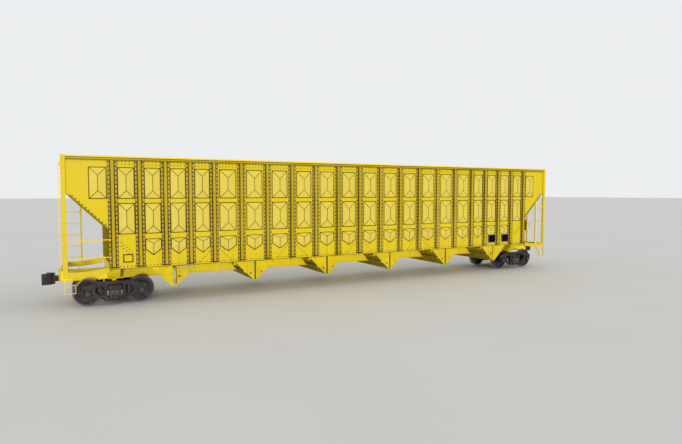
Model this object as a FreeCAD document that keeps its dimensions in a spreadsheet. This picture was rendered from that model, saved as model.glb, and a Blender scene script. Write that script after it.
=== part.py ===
"""Open hopper wagon for bulky loose freight, carried on two four-wheel bogies.

Frame: X runs along the wagon, Y across it and Z up. The origin is on the wagon's centre line,
midway between the bogies, level with the lowest points of the wheel flanges. End a is towards -X
and end b towards +X. The front side is towards -Y and the back side towards +Y.
"""

import FreeCAD, Part
import math
import os

import Sketcher

DIMENSIONS = (
    # Body shell
    ("body_length", 20900, "over the end rails and corner posts"),
    ("body_width", 3000, "over the side posts and top chords"),
    ("body_top", 4825, "top of the chords"),
    ("body_bottom", 1223, "lower edge of the side sheets"),
    ("side_sheet", 8, "thickness of the side and end sheets"),
    ("slope_sheet", 10, "thickness of the slope sheets, doors and other plates"),
    ("seat_gap", 0.3, "gap where a moving piece rests on a fixed one"),
    # Side posts, chords and end frame
    ("post_depth", 60, "how far posts and chords stand out from the sheets"),
    ("post_width", 280, "over both flanges of a hat-section post"),
    ("post_foot", 140, "width of the hat where its walls meet the flanges"),
    ("post_crown", 84, "width of the hat's outer web"),
    ("post_wall", 8, "thickness of a post's metal"),
    ("main_pitch", 965, "post to post along the middle of the side"),
    ("main_bays", 12, "bays at the main pitch"),
    ("end_pitch", 805, "post to post towards each end"),
    ("end_bays", 4, "bays at the end pitch, each end"),
    ("chord_height", 140, "depth of the top chords and end rails"),
    ("chord_lip", 40, "how far a chord's lip covers the sheet's edge"),
    ("chord_lip_wall", 10, "thickness of that lip"),
    ("corner_leg", 130, "leg of a corner post, each way"),
    ("frame_low", 1042, "underside of the end frame's rails"),
    ("frame_height", 164, "depth of the end frame's rails"),
    ("frame_bend", 9790, "where a side rail starts to rise towards the side sheet"),
    ("frame_rise", 92, "rise of a side rail at the side sheet"),
    ("frame_flange", 100, "flange of the end frame's side rails"),
    ("frame_wall", 10, "thickness of the end frame's metal"),
    ("end_rib_height", 120, "stiffening ribs of the end sheets"),
    ("end_rib_depth", 40, "how far those ribs stand out"),
    # Pressed panels in the side sheets
    ("press_depth", 40, "height of a pressing's ridge"),
    ("press_main", 580, "width of a pressing in the main bays"),
    ("press_end", 490, "width of a pressing in the end bays"),
    ("press_last", 500, "width of the single pressing beyond the last post"),
    ("press_last_gap", 30, "last post's flange to that pressing"),
    ("press_height", 980, "height of the pressings in the two upper rows"),
    ("press_level", 3973, "middle of the top row"),
    ("press_row_pitch", 1138, "top row to second row"),
    ("low_press_top", 2154, "upper edge of the pointed pressings"),
    ("low_press_apex", 2010, "level of their highest point"),
    ("low_press_shoulder", 1821, "where their sides turn inwards"),
    ("low_press_point", 1625, "their lower point"),
    ("low_press_bays", 3, "end bays with pointed pressings, each end"),
    # Hoppers
    ("hopper_one", 1447, "middle of the first hopper from the wagon's centre"),
    ("hopper_two", 4341, "middle of the second hopper"),
    ("hopper_three", 7165, "middle of the end hopper"),
    ("slope_angle", 45, "slope of the hopper sheets, degrees"),
    ("tip_level", 533, "underside of the hoppers"),
    ("tip_flat", 110, "length of a hopper's flat bottom"),
    ("door_top", 1150, "upper edge of a door leaf"),
    ("door_gap", 10, "gap between a pair of closed leaves and at their top edges"),
    ("door_relief", 10, "how far a leaf's end plates lean back above the hinge line"),
    ("door_head_gap", 8, "gap under the side sheet over a leaf's end plates"),
    ("sill_clearance", 15, "gap between a leaf and the centre sill"),
    ("hinge_drop", 50, "hinge line's distance under the slope sheet"),
    ("hinge_pin_radius", 20, "door hinge pins"),
    ("hinge_fit", 0.3, "radial clearance on the hinge pins"),
    ("hinge_boss_radius", 36, "boss of a door's hinge lug"),
    ("hinge_plate", 20, "thickness of hinge lugs and brackets"),
    ("hinge_inner", 330, "inner end of a hinge pin from the centre line"),
    ("hinge_outer", 1400, "outer end of a hinge pin from the centre line"),
    ("door_beam_width", 120, "door stiffener, along the slope"),
    ("door_beam_depth", 30, "door stiffener, below the leaf"),
    # Centre sill, bolsters and bulkheads
    ("sill_length", 21160, "over the strikers"),
    ("sill_bottom", 767, "underside of the centre sill"),
    ("sill_height", 340, "depth of the centre sill"),
    ("sill_width", 400, "over the webs"),
    ("sill_wall", 12, "thickness of the sill's metal"),
    ("sill_flange", 60, "bottom flange outside each web"),
    ("hood_height", 200, "ridge cover over the sill inside the hoppers"),
    ("striker_depth", 40, "thickness of a striker"),
    ("striker_margin", 40, "how far a striker stands out round the sill"),
    ("bolster_width", 360, "body bolster along the wagon"),
    ("bolster_top", 1395, "top of the body bolsters"),
    ("bolster_side_low", 1235, "underside of a bolster at the side"),
    ("bolster_low", 820, "underside of a bolster beside the sill"),
    ("bolster_shoulder", 720, "where a bolster starts to rise, from the centre line"),
    ("bulkhead_place", 9131, "inner face of the bulkhead under each end slope"),
    # Bogies
    ("bogie_centres", 17930, "between the bogie pivots"),
    ("wheelbase", 1625, "between the axles of a bogie"),
    ("tread_radius", 419, "running radius of a wheel"),
    ("flange_height", 25, "flange beyond the tread"),
    ("back_to_back", 1356, "between the inner faces of a pair of wheels"),
    ("rim_width", 145, "width of a wheel's rim"),
    ("flange_width", 32, "width of the flange at its root"),
    ("rim_depth", 60, "tread to the underside of the rim"),
    ("web_thickness", 26, "wheel's plate"),
    ("web_at_rim", 90, "wheel's back to the plate's outer face at the rim"),
    ("web_at_hub", 44, "wheel's back to the plate's inner face at the hub"),
    ("flange_chamfer", 6, "bevel on the flange's back"),
    ("tread_taper", 4, "fall of the tread across the rim"),
    ("hub_radius", 145, "wheel hub"),
    ("hub_length", 178, "wheel hub"),
    ("seat_radius", 100, "axle's wheel seat"),
    ("axle_radius", 86, "axle between the wheels"),
    ("journal_radius", 80, "axle journals"),
    ("journal_centres", 2006, "between the journals' middles"),
    ("cup_radius", 105, "bearing cup"),
    ("cup_length", 170, "bearing cup"),
    ("cap_radius", 86, "axle end cap"),
    ("cap_thickness", 32, "axle end cap"),
    ("frame_thickness", 155, "side frame across the wagon"),
    ("frame_bottom", 164, "underside of a side frame"),
    ("frame_top", 789, "top of a side frame"),
    ("frame_foot_half", 300, "half of a side frame's level underside"),
    ("frame_crest_half", 510, "half of a side frame's level top"),
    ("frame_shoulder_run", 100, "shoulder of a side frame from its end"),
    ("frame_shoulder_rise", 45, "height of that shoulder over the frame's end"),
    ("column_width", 90, "upright between the bolster window and a side port"),
    ("port_top", 655, "inner upper corner of a side port"),
    ("port_low", 270, "underside of a side port"),
    ("port_foot", 350, "outer end of that underside from the bogie's middle"),
    ("port_outer", 590, "outer edge of a side port from the bogie's middle"),
    ("port_outer_low", 450, "lower end of that edge"),
    ("port_outer_high", 560, "upper end of that edge"),
    ("port_crown", 530, "outer upper corner of a side port from the bogie's middle"),
    ("port_crown_level", 630, "level of that corner"),
    ("jaw_gap", 6.5, "bearing cup to each pedestal jaw"),
    ("jaw_bottom", 400, "lower end of the pedestal jaws"),
    ("pedestal_roof", 589, "underside of a pedestal"),
    ("pedestal_top", 645, "top of a side frame's end"),
    ("pedestal_leg", 60, "thickness of a pedestal leg"),
    ("spring_seat", 269, "spring seat in a side frame"),
    ("spring_height", 230, "loaded spring"),
    ("spring_radius", 58, "outside of a spring"),
    ("spring_pitch", 130, "between springs"),
    ("spring_shelf", 30, "thickness of the shelf under the springs"),
    ("spring_shelf_width", 256, "that shelf across the wagon"),
    ("window_half", 230, "half of the bolster window"),
    ("window_top", 700, "top of the bolster window"),
    ("bogie_bolster_width", 380, "bogie bolster along the wagon"),
    ("bogie_bolster_length", 2220, "bogie bolster across the wagon"),
    ("bolster_seat_half", 860, "inner edge of the bogie bolster's spring seats"),
    ("bolster_belly_half", 600, "half of the bogie bolster's deep middle"),
    ("bolster_belly", 80, "how far that middle hangs below the spring seats"),
    ("bolster_flat_half", 500, "half of the bogie bolster's level top"),
    ("bolster_tip_drop", 50, "fall from that top to the bogie bolster's tips"),
    ("bowl_floor", 705, "floor of the centre bowl"),
    ("bowl_rim", 735, "top of the centre bowl"),
    ("plate_radius", 175, "body centre plate"),
    ("bowl_clearance", 6, "centre plate to the bowl's rim"),
    ("bowl_wall", 40, "thickness of the bowl's rim"),
    ("side_bearing", 635, "side bearings from the centre line"),
    ("side_bearing_gap", 6, "side bearing clearance"),
    ("side_bearing_half", 65, "half of a side bearing's length"),
    ("side_bearing_root", 60, "depth of a side bearing's foot in the bolster"),
    ("brake_beam_place", 290, "brake beam from the bogie's middle"),
    ("brake_beam_half", 28, "half of a brake beam's section"),
    ("brake_beam_level", 400, "middle of the brake beams"),
    ("shoe_clearance", 7, "brake shoe to tread"),
    ("shoe_width", 86, "brake shoe across the wagon"),
    ("shoe_half_height", 150, "half of a brake shoe's height"),
    # Couplers
    ("coupled_length", 22146, "over the couplers' pulling faces"),
    ("coupler_level", 865, "middle of the couplers"),
    ("shank_width", 140, "coupler shank"),
    ("shank_height", 170, "coupler shank"),
    ("head_length", 383, "coupler head"),
    ("head_height", 360, "coupler head"),
    ("head_neck", 60, "where the shank widens, from its joint with the head"),
    ("head_back", 110, "where the head reaches its full width"),
    ("head_half", 165, "centre line to the head's knuckle side"),
    ("lug_reach", 250, "front of the knuckle lugs"),
    ("lug_lip", 20, "inner edge of the knuckle lugs from the centre line"),
    ("throat_depth", 130, "back of the head's throat"),
    ("throat_near", 10, "throat's knuckle side from the centre line"),
    ("throat_far", 60, "throat's guard side from the centre line"),
    ("guard_root", 75, "inner face of the guard arm at the lugs"),
    ("guard_inner", 150, "inner face of the guard arm at its tip"),
    ("guard_tip", 195, "outer face of the guard arm at its tip"),
    ("guard_crook", 300, "where the guard arm bends"),
    ("guard_crest", 205, "outer face of the guard arm at that bend"),
    ("pocket_back", 120, "back of the pocket between the lugs"),
    ("draft_pin_place", 9990, "coupler's pivot pin from the wagon's middle"),
    ("draft_pin_radius", 45, "coupler's pivot pin"),
    ("draft_fit", 0.3, "radial clearance on that pin"),
    ("knuckle_height", 290, "knuckle"),
    ("knuckle_gap", 6, "knuckle to the head's lugs"),
    ("knuckle_tail", 160, "back of the knuckle"),
    ("knuckle_side", 145, "outer side of the knuckle at its back"),
    ("knuckle_bulge", 155, "outer side of the knuckle at its bend"),
    ("knuckle_bend", 300, "where the knuckle bends towards its nose"),
    ("knuckle_front", 375, "front of the knuckle"),
    ("knuckle_shoulder", 110, "outer end of that front"),
    ("knuckle_nose", 25, "knuckle's nose beyond the centre line"),
    ("knuckle_round", 30, "bevel on the nose"),
    ("knuckle_inner", 40, "inner side of the knuckle from the centre line"),
    ("knuckle_throat", 290, "back of the nose"),
    ("knuckle_pin_place", 200, "knuckle pin from the shank's joint with the head"),
    ("knuckle_pin_side", 95, "knuckle pin from the centre line"),
    ("knuckle_pin_radius", 21, "knuckle pin"),
    ("knuckle_fit", 0.3, "radial clearance on the knuckle pin"),
    # Ladders, rails and steps
    ("rung_radius", 16, "ladder rungs and grab rails"),
    ("rung_centre_depth", 30, "rungs from the sheet's face"),
    ("stile_place", 9850, "side ladder's stile from the wagon's middle"),
    ("stile_width", 60, "ladder stiles"),
    ("side_rung_level", 1360, "lowest rung of a side ladder"),
    ("side_rung_pitch", 405, "rungs of a side ladder"),
    ("side_rungs", 5, "rungs of a side ladder"),
    ("end_rung_level", 1680, "lowest rung of an end ladder"),
    ("end_rung_pitch", 341, "rungs of an end ladder"),
    ("end_rungs", 9, "rungs of an end ladder"),
    ("end_ladder_width", 440, "between the stiles of an end ladder"),
    ("end_ladder_depth", 70, "how far an end ladder stands out"),
    ("grab_low", 1627, "lower side grab rail"),
    ("grab_high", 2181, "upper side grab rail"),
    ("step_outer", 10405, "outer leg of a corner step"),
    ("step_inner", 10110, "inner leg of a corner step"),
    ("step_brace", 9870, "where the inner leg meets the frame"),
    ("step_low", 553, "tread of a corner step"),
    ("step_high", 805, "upper tread of a corner step"),
    ("step_knee", 765, "where the inner leg starts to slant"),
    ("step_bar", 16, "thickness of the step's bar"),
    ("step_width", 50, "width of the step's bar"),
    # Hand brake and air brake
    ("stand_place", -500, "brake stand across the wagon"),
    ("stand_width", 70, "brake stand"),
    ("stand_top", 2550, "top of the brake stand"),
    ("gear_low", 1790, "underside of the hand brake's gear case"),
    ("gear_height", 480, "gear case"),
    ("gear_width", 380, "gear case across the wagon"),
    ("gear_depth", 90, "gear case along the wagon"),
    ("brake_wheel_radius", 280, "hand brake wheel"),
    ("brake_wheel_rim", 14, "radius of its rim's bar"),
    ("brake_wheel_spoke", 14, "thickness of its spokes"),
    ("brake_wheel_hub", 42, "length of its hub"),
    ("brake_wheel_hub_radius", 28, "radius of its hub"),
    ("reservoir_radius", 190, "air reservoir"),
    ("reservoir_length", 1000, "air reservoir"),
    ("reservoir_level", 1950, "middle of the air reservoir"),
    ("reservoir_offset", 260, "reservoir's middle from the bulkhead"),
    ("reservoir_strap", 200, "reservoir's brackets from its ends"),
    ("cylinder_radius", 130, "brake cylinder"),
    ("cylinder_length", 420, "brake cylinder"),
    ("cylinder_level", 1560, "middle of the brake cylinder"),
    ("piston_rod_radius", 32, "brake cylinder's rod"),
    ("piston_rod_length", 210, "brake cylinder's rod"),
    ("lever_radius", 12, "uncoupling lever's bar"),
    ("lever_level", 1085, "uncoupling lever"),
    ("lever_place", 10500, "uncoupling lever from the wagon's middle"),
    ("lever_drop", 210, "handle of the uncoupling lever"),
    ("lever_bracket", 30, "how far a lever's bracket reaches up the end sill"),
)

DOC = FreeCAD.newDocument("OpenHopperWagon")
SHEET = DOC.addObject("Spreadsheet::Sheet", "Dims")
for row, (alias, value, note) in enumerate(DIMENSIONS, start=1):
    SHEET.set("A%d" % row, note)
    SHEET.set("B%d" % row, str(value))
    SHEET.setAlias("B%d" % row, alias)
DOC.recompute()

ENDS = (("a", -1), ("b", 1))
NODES = []


class Size:
    """A length or ratio: its value now, and the expression that ties it to the sheet."""

    def __init__(self, value, text):
        self.value = float(value)
        self.text = text

    def join(self, other, sign, value):
        other = size(other)
        return Size(value(self.value, other.value), "(%s %s %s)" % (self.text, sign, other.text))

    def __add__(self, other):
        return self.join(other, "+", lambda a, b: a + b)

    def __sub__(self, other):
        return self.join(other, "-", lambda a, b: a - b)

    def __mul__(self, other):
        return self.join(other, "*", lambda a, b: a * b)

    def __truediv__(self, other):
        return self.join(other, "/", lambda a, b: a / b)

    def __neg__(self):
        return Size(-self.value, "(-1 * %s)" % self.text)


def size(item):
    """A Size from a Size or from a plain number."""
    return item if isinstance(item, Size) else Size(item, "(%s)" % repr(item))


class Driving:
    """The sheet's cells by name, each as a Size."""

    def __getattr__(self, alias):
        return Size(SHEET.get(alias), "Dims." + alias)


D = Driving()


def sine(angle):
    return Size(math.sin(math.radians(angle.value)), "sin(%s)" % angle.text)


def cosine(angle):
    return Size(math.cos(math.radians(angle.value)), "cos(%s)" % angle.text)


def tangent(angle):
    return Size(math.tan(math.radians(angle.value)), "tan(%s)" % angle.text)


def tie(thing, prop, item):
    thing.setExpression(prop, size(item).text)


def origin_plane(body, role):
    return next(part for part in body.Origin.OriginFeatures if part.Role == role)


def new_body(label, x=None, z=None, turned=False):
    """A body for one node, placed along the wagon and in height, and turned end for end."""
    body = DOC.addObject("PartDesign::Body", label)
    body.Label = label
    if turned:
        body.Placement = FreeCAD.Placement(FreeCAD.Vector(), FreeCAD.Rotation(FreeCAD.Vector(0, 0, 1), 180))
    if x is not None:
        tie(body, ".Placement.Base.x", x)
    if z is not None:
        tie(body, ".Placement.Base.z", z)
    NODES.append(body)
    return body


def place(feature, x, y, z):
    tie(feature, ".Placement.Base.x", x)
    tie(feature, ".Placement.Base.y", y)
    tie(feature, ".Placement.Base.z", z)


def new_sketch(body, role, offset):
    """A sketch parallel to one of the body's own planes, moved along X, Y or Z by offset."""
    sketch = body.newObject("Sketcher::SketchObject", "Profile")
    sketch.AttachmentSupport = [(origin_plane(body, role), "")]
    sketch.MapMode = "FlatFace"
    along = -size(offset) if role == "XZ_Plane" else size(offset)
    tie(sketch, ".AttachmentOffset.Base.z", along)
    return sketch


def tie_point(sketch, geometry, end, x, y):
    for kind, item in (("DistanceX", x), ("DistanceY", y)):
        index = sketch.addConstraint(Sketcher.Constraint(kind, -1, 1, geometry, end, item.value))
        sketch.setExpression("Constraints[%d]" % index, item.text)


def outline(sketch, points):
    """A closed outline of straight edges through points, each tied to the sheet."""
    points = [(size(x), size(y)) for x, y in points]
    count = len(points)
    for index in range(count):
        (ax, ay), (bx, by) = points[index], points[(index + 1) % count]
        start = FreeCAD.Vector(ax.value, ay.value, 0)
        end = FreeCAD.Vector(bx.value, by.value, 0)
        sketch.addGeometry(Part.LineSegment(start, end), False)
    for index in range(count):
        sketch.addConstraint(Sketcher.Constraint("Coincident", index, 2, (index + 1) % count, 1))
        tie_point(sketch, index, 1, *points[index])


def prism(body, role, points, start, end, cut=False):
    """An outline pushed along the plane's own axis from start to end, added or cut away."""
    sketch = new_sketch(body, role, start)
    outline(sketch, points)
    kind = "PartDesign::Pocket" if cut else "PartDesign::Pad"
    feature = body.newObject(kind, "Cut" if cut else "Plate")
    feature.Profile = sketch
    tie(feature, "Length", size(end) - start)
    feature.Reversed = (role == "XZ_Plane") != cut
    sketch.Visibility = False
    return feature


def box(body, x, y, z, cut=False):
    """A block between two limits along each axis, added or cut away."""
    kind = "PartDesign::SubtractiveBox" if cut else "PartDesign::AdditiveBox"
    feature = body.newObject(kind, "Block")
    for prop, (low, high) in (("Length", x), ("Width", y), ("Height", z)):
        tie(feature, prop, size(high) - low)
    place(feature, x[0], y[0], z[0])
    return feature


AXIS_TURNS = {
    "X": FreeCAD.Rotation(FreeCAD.Vector(0, 1, 0), 90),
    "Y": FreeCAD.Rotation(FreeCAD.Vector(1, 0, 0), -90),
    "Z": FreeCAD.Rotation(),
}


def rod(body, axis, start, length, radius, cut=False):
    """A cylinder from start along an axis, added or cut away."""
    kind = "PartDesign::SubtractiveCylinder" if cut else "PartDesign::AdditiveCylinder"
    feature = body.newObject(kind, "Rod")
    feature.Placement = FreeCAD.Placement(FreeCAD.Vector(), AXIS_TURNS[axis])
    tie(feature, "Radius", radius)
    tie(feature, "Height", length)
    place(feature, *start)
    return feature


def turned(body, points):
    """A revolved solid about the body's own Y axis; each point is a radius and a place along Y."""
    sketch = new_sketch(body, "XY_Plane", 0)
    outline(sketch, points)
    feature = body.newObject("PartDesign::Revolution", "Turned")
    feature.Profile = sketch
    feature.ReferenceAxis = (sketch, ["V_Axis"])
    feature.Angle = 360
    sketch.Visibility = False
    return feature


def repeat(body, kind, label):
    """A pattern or mirror feature that follows the body's last feature."""
    last = body.Tip
    feature = body.newObject(kind, label)
    feature.BaseFeature = last
    body.Tip = feature
    return feature


def row_of(body, features, spacing, count, role="YZ_Plane"):
    """Copies of features at equal spacing along the normal of a plane."""
    pattern = repeat(body, "PartDesign::LinearPattern", "Row")
    pattern.Originals = features
    axis = {"YZ_Plane": "X_Axis", "XZ_Plane": "Y_Axis", "XY_Plane": "Z_Axis"}[role]
    pattern.Direction = (origin_plane(body, axis), [""])
    pattern.Mode = "Spacing"
    tie(pattern, "Offset", spacing)
    tie(pattern, "Occurrences", count)


def mirror_all(body, *roles):
    """The whole body so far mirrored in one plane after another."""
    for role in roles:
        twin = repeat(body, "PartDesign::Mirrored", "Twin")
        twin.TransformMode = "Whole shape"
        twin.MirrorPlane = (origin_plane(body, role), [""])


# Places that several pieces share
HALF_LENGTH = D.body_length / 2
HALF_WIDTH = D.body_width / 2
SHEET_OUT = HALF_WIDTH - D.post_depth
SHEET_IN = SHEET_OUT - D.side_sheet
END_OUT = HALF_LENGTH - D.post_depth
END_IN = END_OUT - D.side_sheet
CORNER_IN = HALF_LENGTH - D.corner_leg
CHORD_LOW = D.body_top - D.chord_height
SHEET_TOP = D.body_top - D.chord_lip_wall
MAIN_END = D.main_pitch * D.main_bays / 2
LAST_POST = MAIN_END + D.end_pitch * D.end_bays
SIDE_END = LAST_POST + D.post_width / 2
FRAME_TOP = D.frame_low + D.frame_height
RISE = tangent(D.slope_angle)
SLOPE_DROP = D.slope_sheet / cosine(D.slope_angle)
TIP_HALF = D.tip_flat / 2
HOPPERS = (D.hopper_one, D.hopper_two, D.hopper_three)
SILL_TOP = D.sill_bottom + D.sill_height
SILL_HALF = D.sill_width / 2
SILL_FOOT = SILL_HALF + D.sill_flange
AXLE_LEVEL = D.tread_radius + D.flange_height
SPRING_TOP = D.spring_seat + D.spring_height
BOGIE_PLACE = D.bogie_centres / 2


def flank(level):
    """Distance from a hopper's middle to the underside of its sloping sheet at a level."""
    return TIP_HALF + (level - D.tip_level) / RISE


def slope_level(place_x):
    """Level of the underside of the end slope sheet at a distance from the wagon's middle."""
    return D.tip_level + (place_x - D.hopper_three - TIP_HALF) * RISE


HINGE_X = flank(D.door_top) + D.hinge_drop * sine(D.slope_angle)
HINGE_Z = D.door_top - D.hinge_drop * cosine(D.slope_angle)


# Side sheets with their pressed panels
def ridge(body, x, z, width, height, inner):
    """One hip-roofed pressing: raised on the sheet's outer face or hollowed behind it."""
    kind = "PartDesign::SubtractiveWedge" if inner else "PartDesign::AdditiveWedge"
    wedge = body.newObject(kind, "Hollow" if inner else "Pressing")
    ridge_half = (height - width) / 2
    limits = {
        "Xmin": -width / 2, "Xmax": width / 2, "Ymin": size(0), "Ymax": D.press_depth,
        "Zmin": -height / 2, "Zmax": height / 2, "X2min": size(0), "X2max": size(0),
        "Z2min": -ridge_half, "Z2max": ridge_half,
    }
    for prop, item in limits.items():
        tie(wedge, prop, item)
    place(wedge, x, SHEET_IN if inner else SHEET_OUT, z)
    return wedge


def pointed(body, x, width, inner):
    """One five-cornered pressing of the lowest row, rising to a single point."""
    face = SHEET_IN if inner else SHEET_OUT
    outline_sketch = new_sketch(body, "XZ_Plane", face)
    half = width / 2
    outline(outline_sketch, [
        (x - half, D.low_press_shoulder), (x, D.low_press_point), (x + half, D.low_press_shoulder),
        (x + half, D.low_press_top), (x - half, D.low_press_top),
    ])
    tip_sketch = new_sketch(body, "XZ_Plane", face + D.press_depth)
    tip_sketch.addGeometry(Part.Point(FreeCAD.Vector(size(x).value, D.low_press_apex.value, 0)), False)
    tie_point(tip_sketch, 0, 1, size(x), D.low_press_apex)
    kind = "PartDesign::SubtractiveLoft" if inner else "PartDesign::AdditiveLoft"
    loft = body.newObject(kind, "Hollow" if inner else "Pressing")
    loft.Profile = outline_sketch
    loft.Sections = [tip_sketch]
    loft.Ruled = True
    outline_sketch.Visibility = False
    tip_sketch.Visibility = False
    return loft


def side_sheets():
    """The back side's sheet with its rows of pressings, and its mirror image for the front."""
    body = new_body("side_sheet_back")
    box(body, (-SIDE_END, SIDE_END), (SHEET_IN, SHEET_OUT), (D.body_bottom, SHEET_TOP))
    first_main = D.main_pitch / 2 - MAIN_END
    first_end = MAIN_END + D.end_pitch / 2
    last_end = first_end + D.end_pitch * (D.end_bays - 1)
    last_low = first_end + D.end_pitch * (D.low_press_bays - 1)
    for inner in (False, True):
        for level in (D.press_level, D.press_level - D.press_row_pitch):
            panel = ridge(body, first_main, level, D.press_main, D.press_height, inner)
            row_of(body, [panel], D.main_pitch, D.main_bays)
            for start in (first_end, -last_end):
                panel = ridge(body, start, level, D.press_end, D.press_height, inner)
                row_of(body, [panel], D.end_pitch, D.end_bays)
        panel = pointed(body, first_main, D.press_main, inner)
        row_of(body, [panel], D.main_pitch, D.main_bays)
        for start in (first_end, -last_low):
            panel = pointed(body, start, D.press_end, inner)
            row_of(body, [panel], D.end_pitch, D.low_press_bays)
    front = DOC.addObject("Part::Mirroring", "side_sheet_front")
    front.Label = "side_sheet_front"
    front.Source = body
    front.Normal = FreeCAD.Vector(0, 1, 0)
    NODES.append(front)


def end_bay_sheets():
    """The four sheets between the last posts and the corner posts, cut off along the end slope."""
    body = new_body("side_end_sheets")
    edge = SIDE_END
    points = [
        (edge, slope_level(edge)), (edge, SHEET_TOP), (END_IN, SHEET_TOP), (END_IN, slope_level(END_IN)),
    ]
    prism(body, "XZ_Plane", points, SHEET_IN, SHEET_OUT)
    middle = edge + D.press_last_gap + D.press_last / 2
    for inner in (False, True):
        ridge(body, middle, D.press_level, D.press_last, D.press_height, inner)
    mirror_all(body, "XZ_Plane", "YZ_Plane")


def hat_profile(x):
    """Outline of a hat-section post on the outer face of a side sheet."""
    foot, crown, half = D.post_foot / 2, D.post_crown / 2, D.post_width / 2
    wall = D.post_wall
    outer = [
        (-half, SHEET_OUT), (-half, SHEET_OUT + wall), (-foot, SHEET_OUT + wall), (-crown, HALF_WIDTH),
        (crown, HALF_WIDTH), (foot, SHEET_OUT + wall), (half, SHEET_OUT + wall), (half, SHEET_OUT),
    ]
    inner = [
        (foot - wall, SHEET_OUT), (crown - wall, HALF_WIDTH - wall), (wall - crown, HALF_WIDTH - wall),
        (wall - foot, SHEET_OUT),
    ]
    return [(size(dx) + x, size(dy)) for dx, dy in outer + inner]


def side_posts():
    """Rows of hat-section posts on both sides, from the sheets' foot up to the chords."""
    body = new_body("side_posts")
    main = prism(body, "XY_Plane", hat_profile(-MAIN_END), D.body_bottom, CHORD_LOW)
    row_of(body, [main], D.main_pitch, D.main_bays + 1)
    for start in (MAIN_END + D.end_pitch, -LAST_POST):
        post = prism(body, "XY_Plane", hat_profile(start), D.body_bottom, CHORD_LOW)
        row_of(body, [post], D.end_pitch, D.end_bays)
    mirror_all(body, "XZ_Plane")


def top_chords():
    """The side chords: deep bars outside the sheets, with a lip over the sheets' upper edges."""
    body = new_body("top_chords")
    lip = SHEET_OUT - D.chord_lip
    points = [
        (SHEET_OUT, CHORD_LOW), (HALF_WIDTH, CHORD_LOW), (HALF_WIDTH, D.body_top), (lip, D.body_top),
        (lip, SHEET_TOP), (SHEET_OUT, SHEET_TOP),
    ]
    prism(body, "YZ_Plane", points, -END_OUT, END_OUT)
    mirror_all(body, "XZ_Plane")


def end_top_rails():
    body = new_body("end_top_rails")
    lip = END_OUT - D.chord_lip
    points = [
        (END_OUT, CHORD_LOW), (HALF_LENGTH, CHORD_LOW), (HALF_LENGTH, D.body_top), (lip, D.body_top),
        (lip, SHEET_TOP), (END_OUT, SHEET_TOP),
    ]
    inside = SHEET_OUT - D.chord_lip
    prism(body, "XZ_Plane", points, -inside, inside)
    box(body, (END_OUT, HALF_LENGTH), (-HALF_WIDTH, HALF_WIDTH), (CHORD_LOW, D.body_top))
    mirror_all(body, "YZ_Plane")


def corner_posts():
    """Angles outside the four corners, from the end frame's underside up to the chords."""
    body = new_body("corner_posts")
    points = [
        (CORNER_IN, SHEET_OUT), (CORNER_IN, HALF_WIDTH), (HALF_LENGTH, HALF_WIDTH),
        (HALF_LENGTH, HALF_WIDTH - D.corner_leg), (END_OUT, HALF_WIDTH - D.corner_leg),
        (END_OUT, SHEET_OUT),
    ]
    prism(body, "XY_Plane", points, D.frame_low, CHORD_LOW)
    mirror_all(body, "XZ_Plane", "YZ_Plane")


def end_sheets():
    """Upright sheets that close the ends above the end slopes, each with a pair of stiffening ribs."""
    body = new_body("end_sheets")
    low = slope_level(END_IN)
    box(body, (END_IN, END_OUT), (-SHEET_OUT, SHEET_OUT), (low, SHEET_TOP))
    reach = HALF_WIDTH - D.corner_leg
    for share in (1, 2):
        level = low + (CHORD_LOW - low) * share / 3
        half = D.end_rib_height / 2
        rib = [
            (END_OUT, level - half), (END_OUT + D.end_rib_depth, level - half / 2),
            (END_OUT + D.end_rib_depth, level + half / 2), (END_OUT, level + half),
        ]
        prism(body, "XZ_Plane", rib, -reach, reach)
    mirror_all(body, "YZ_Plane")


def end_slopes():
    """Slope sheets from the end hoppers' flat bottoms up to the end sheets, with side plates."""
    body = new_body("end_slopes")
    ledge_end = D.hopper_three + TIP_HALF
    turn = ledge_end + (D.slope_sheet - SLOPE_DROP) / RISE
    start = D.hopper_three + D.door_gap / 2
    points = [
        (start, D.tip_level), (ledge_end, D.tip_level), (END_IN, slope_level(END_IN)),
        (END_IN, slope_level(END_IN) + SLOPE_DROP), (turn, D.tip_level + D.slope_sheet),
        (start, D.tip_level + D.slope_sheet),
    ]
    prism(body, "XZ_Plane", points, -SHEET_IN, SHEET_IN)
    reach = (D.hopper_three, D.hopper_three + D.body_bottom)
    box(body, reach, (-SILL_HALF, SILL_HALF), (D.sill_bottom, SILL_TOP), cut=True)
    box(body, reach, (-SILL_FOOT, SILL_FOOT), (D.sill_bottom, D.sill_bottom + D.sill_wall), cut=True)
    middle = D.hopper_three
    plate = [
        (start, D.tip_level), (middle + TIP_HALF, D.tip_level),
        (middle + flank(D.body_bottom), D.body_bottom), (start, D.body_bottom),
    ]
    prism(body, "XZ_Plane", plate, SHEET_IN, SHEET_OUT)
    prism(body, "XZ_Plane", plate, -SHEET_OUT, -SHEET_IN)
    mirror_all(body, "YZ_Plane")


def saddle(body, left, right):
    """An inverted V of slope sheet between two hoppers."""
    foot = D.door_top + D.door_gap
    peak = (left + right) / 2
    low_left = left + flank(foot)
    low_right = right - flank(foot)
    crest = foot + (peak - low_left) * RISE
    points = [
        (low_left, foot), (peak, crest), (low_right, foot), (low_right, foot + SLOPE_DROP),
        (peak, crest + SLOPE_DROP), (low_left, foot + SLOPE_DROP),
    ]
    return prism(body, "XZ_Plane", points, -SHEET_IN, SHEET_IN)


def hopper_saddles():
    body = new_body("hopper_saddles")
    saddle(body, D.hopper_one, D.hopper_two)
    saddle(body, D.hopper_two, D.hopper_three)
    mirror_all(body, "YZ_Plane")
    saddle(body, -D.hopper_one, D.hopper_one)


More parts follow.
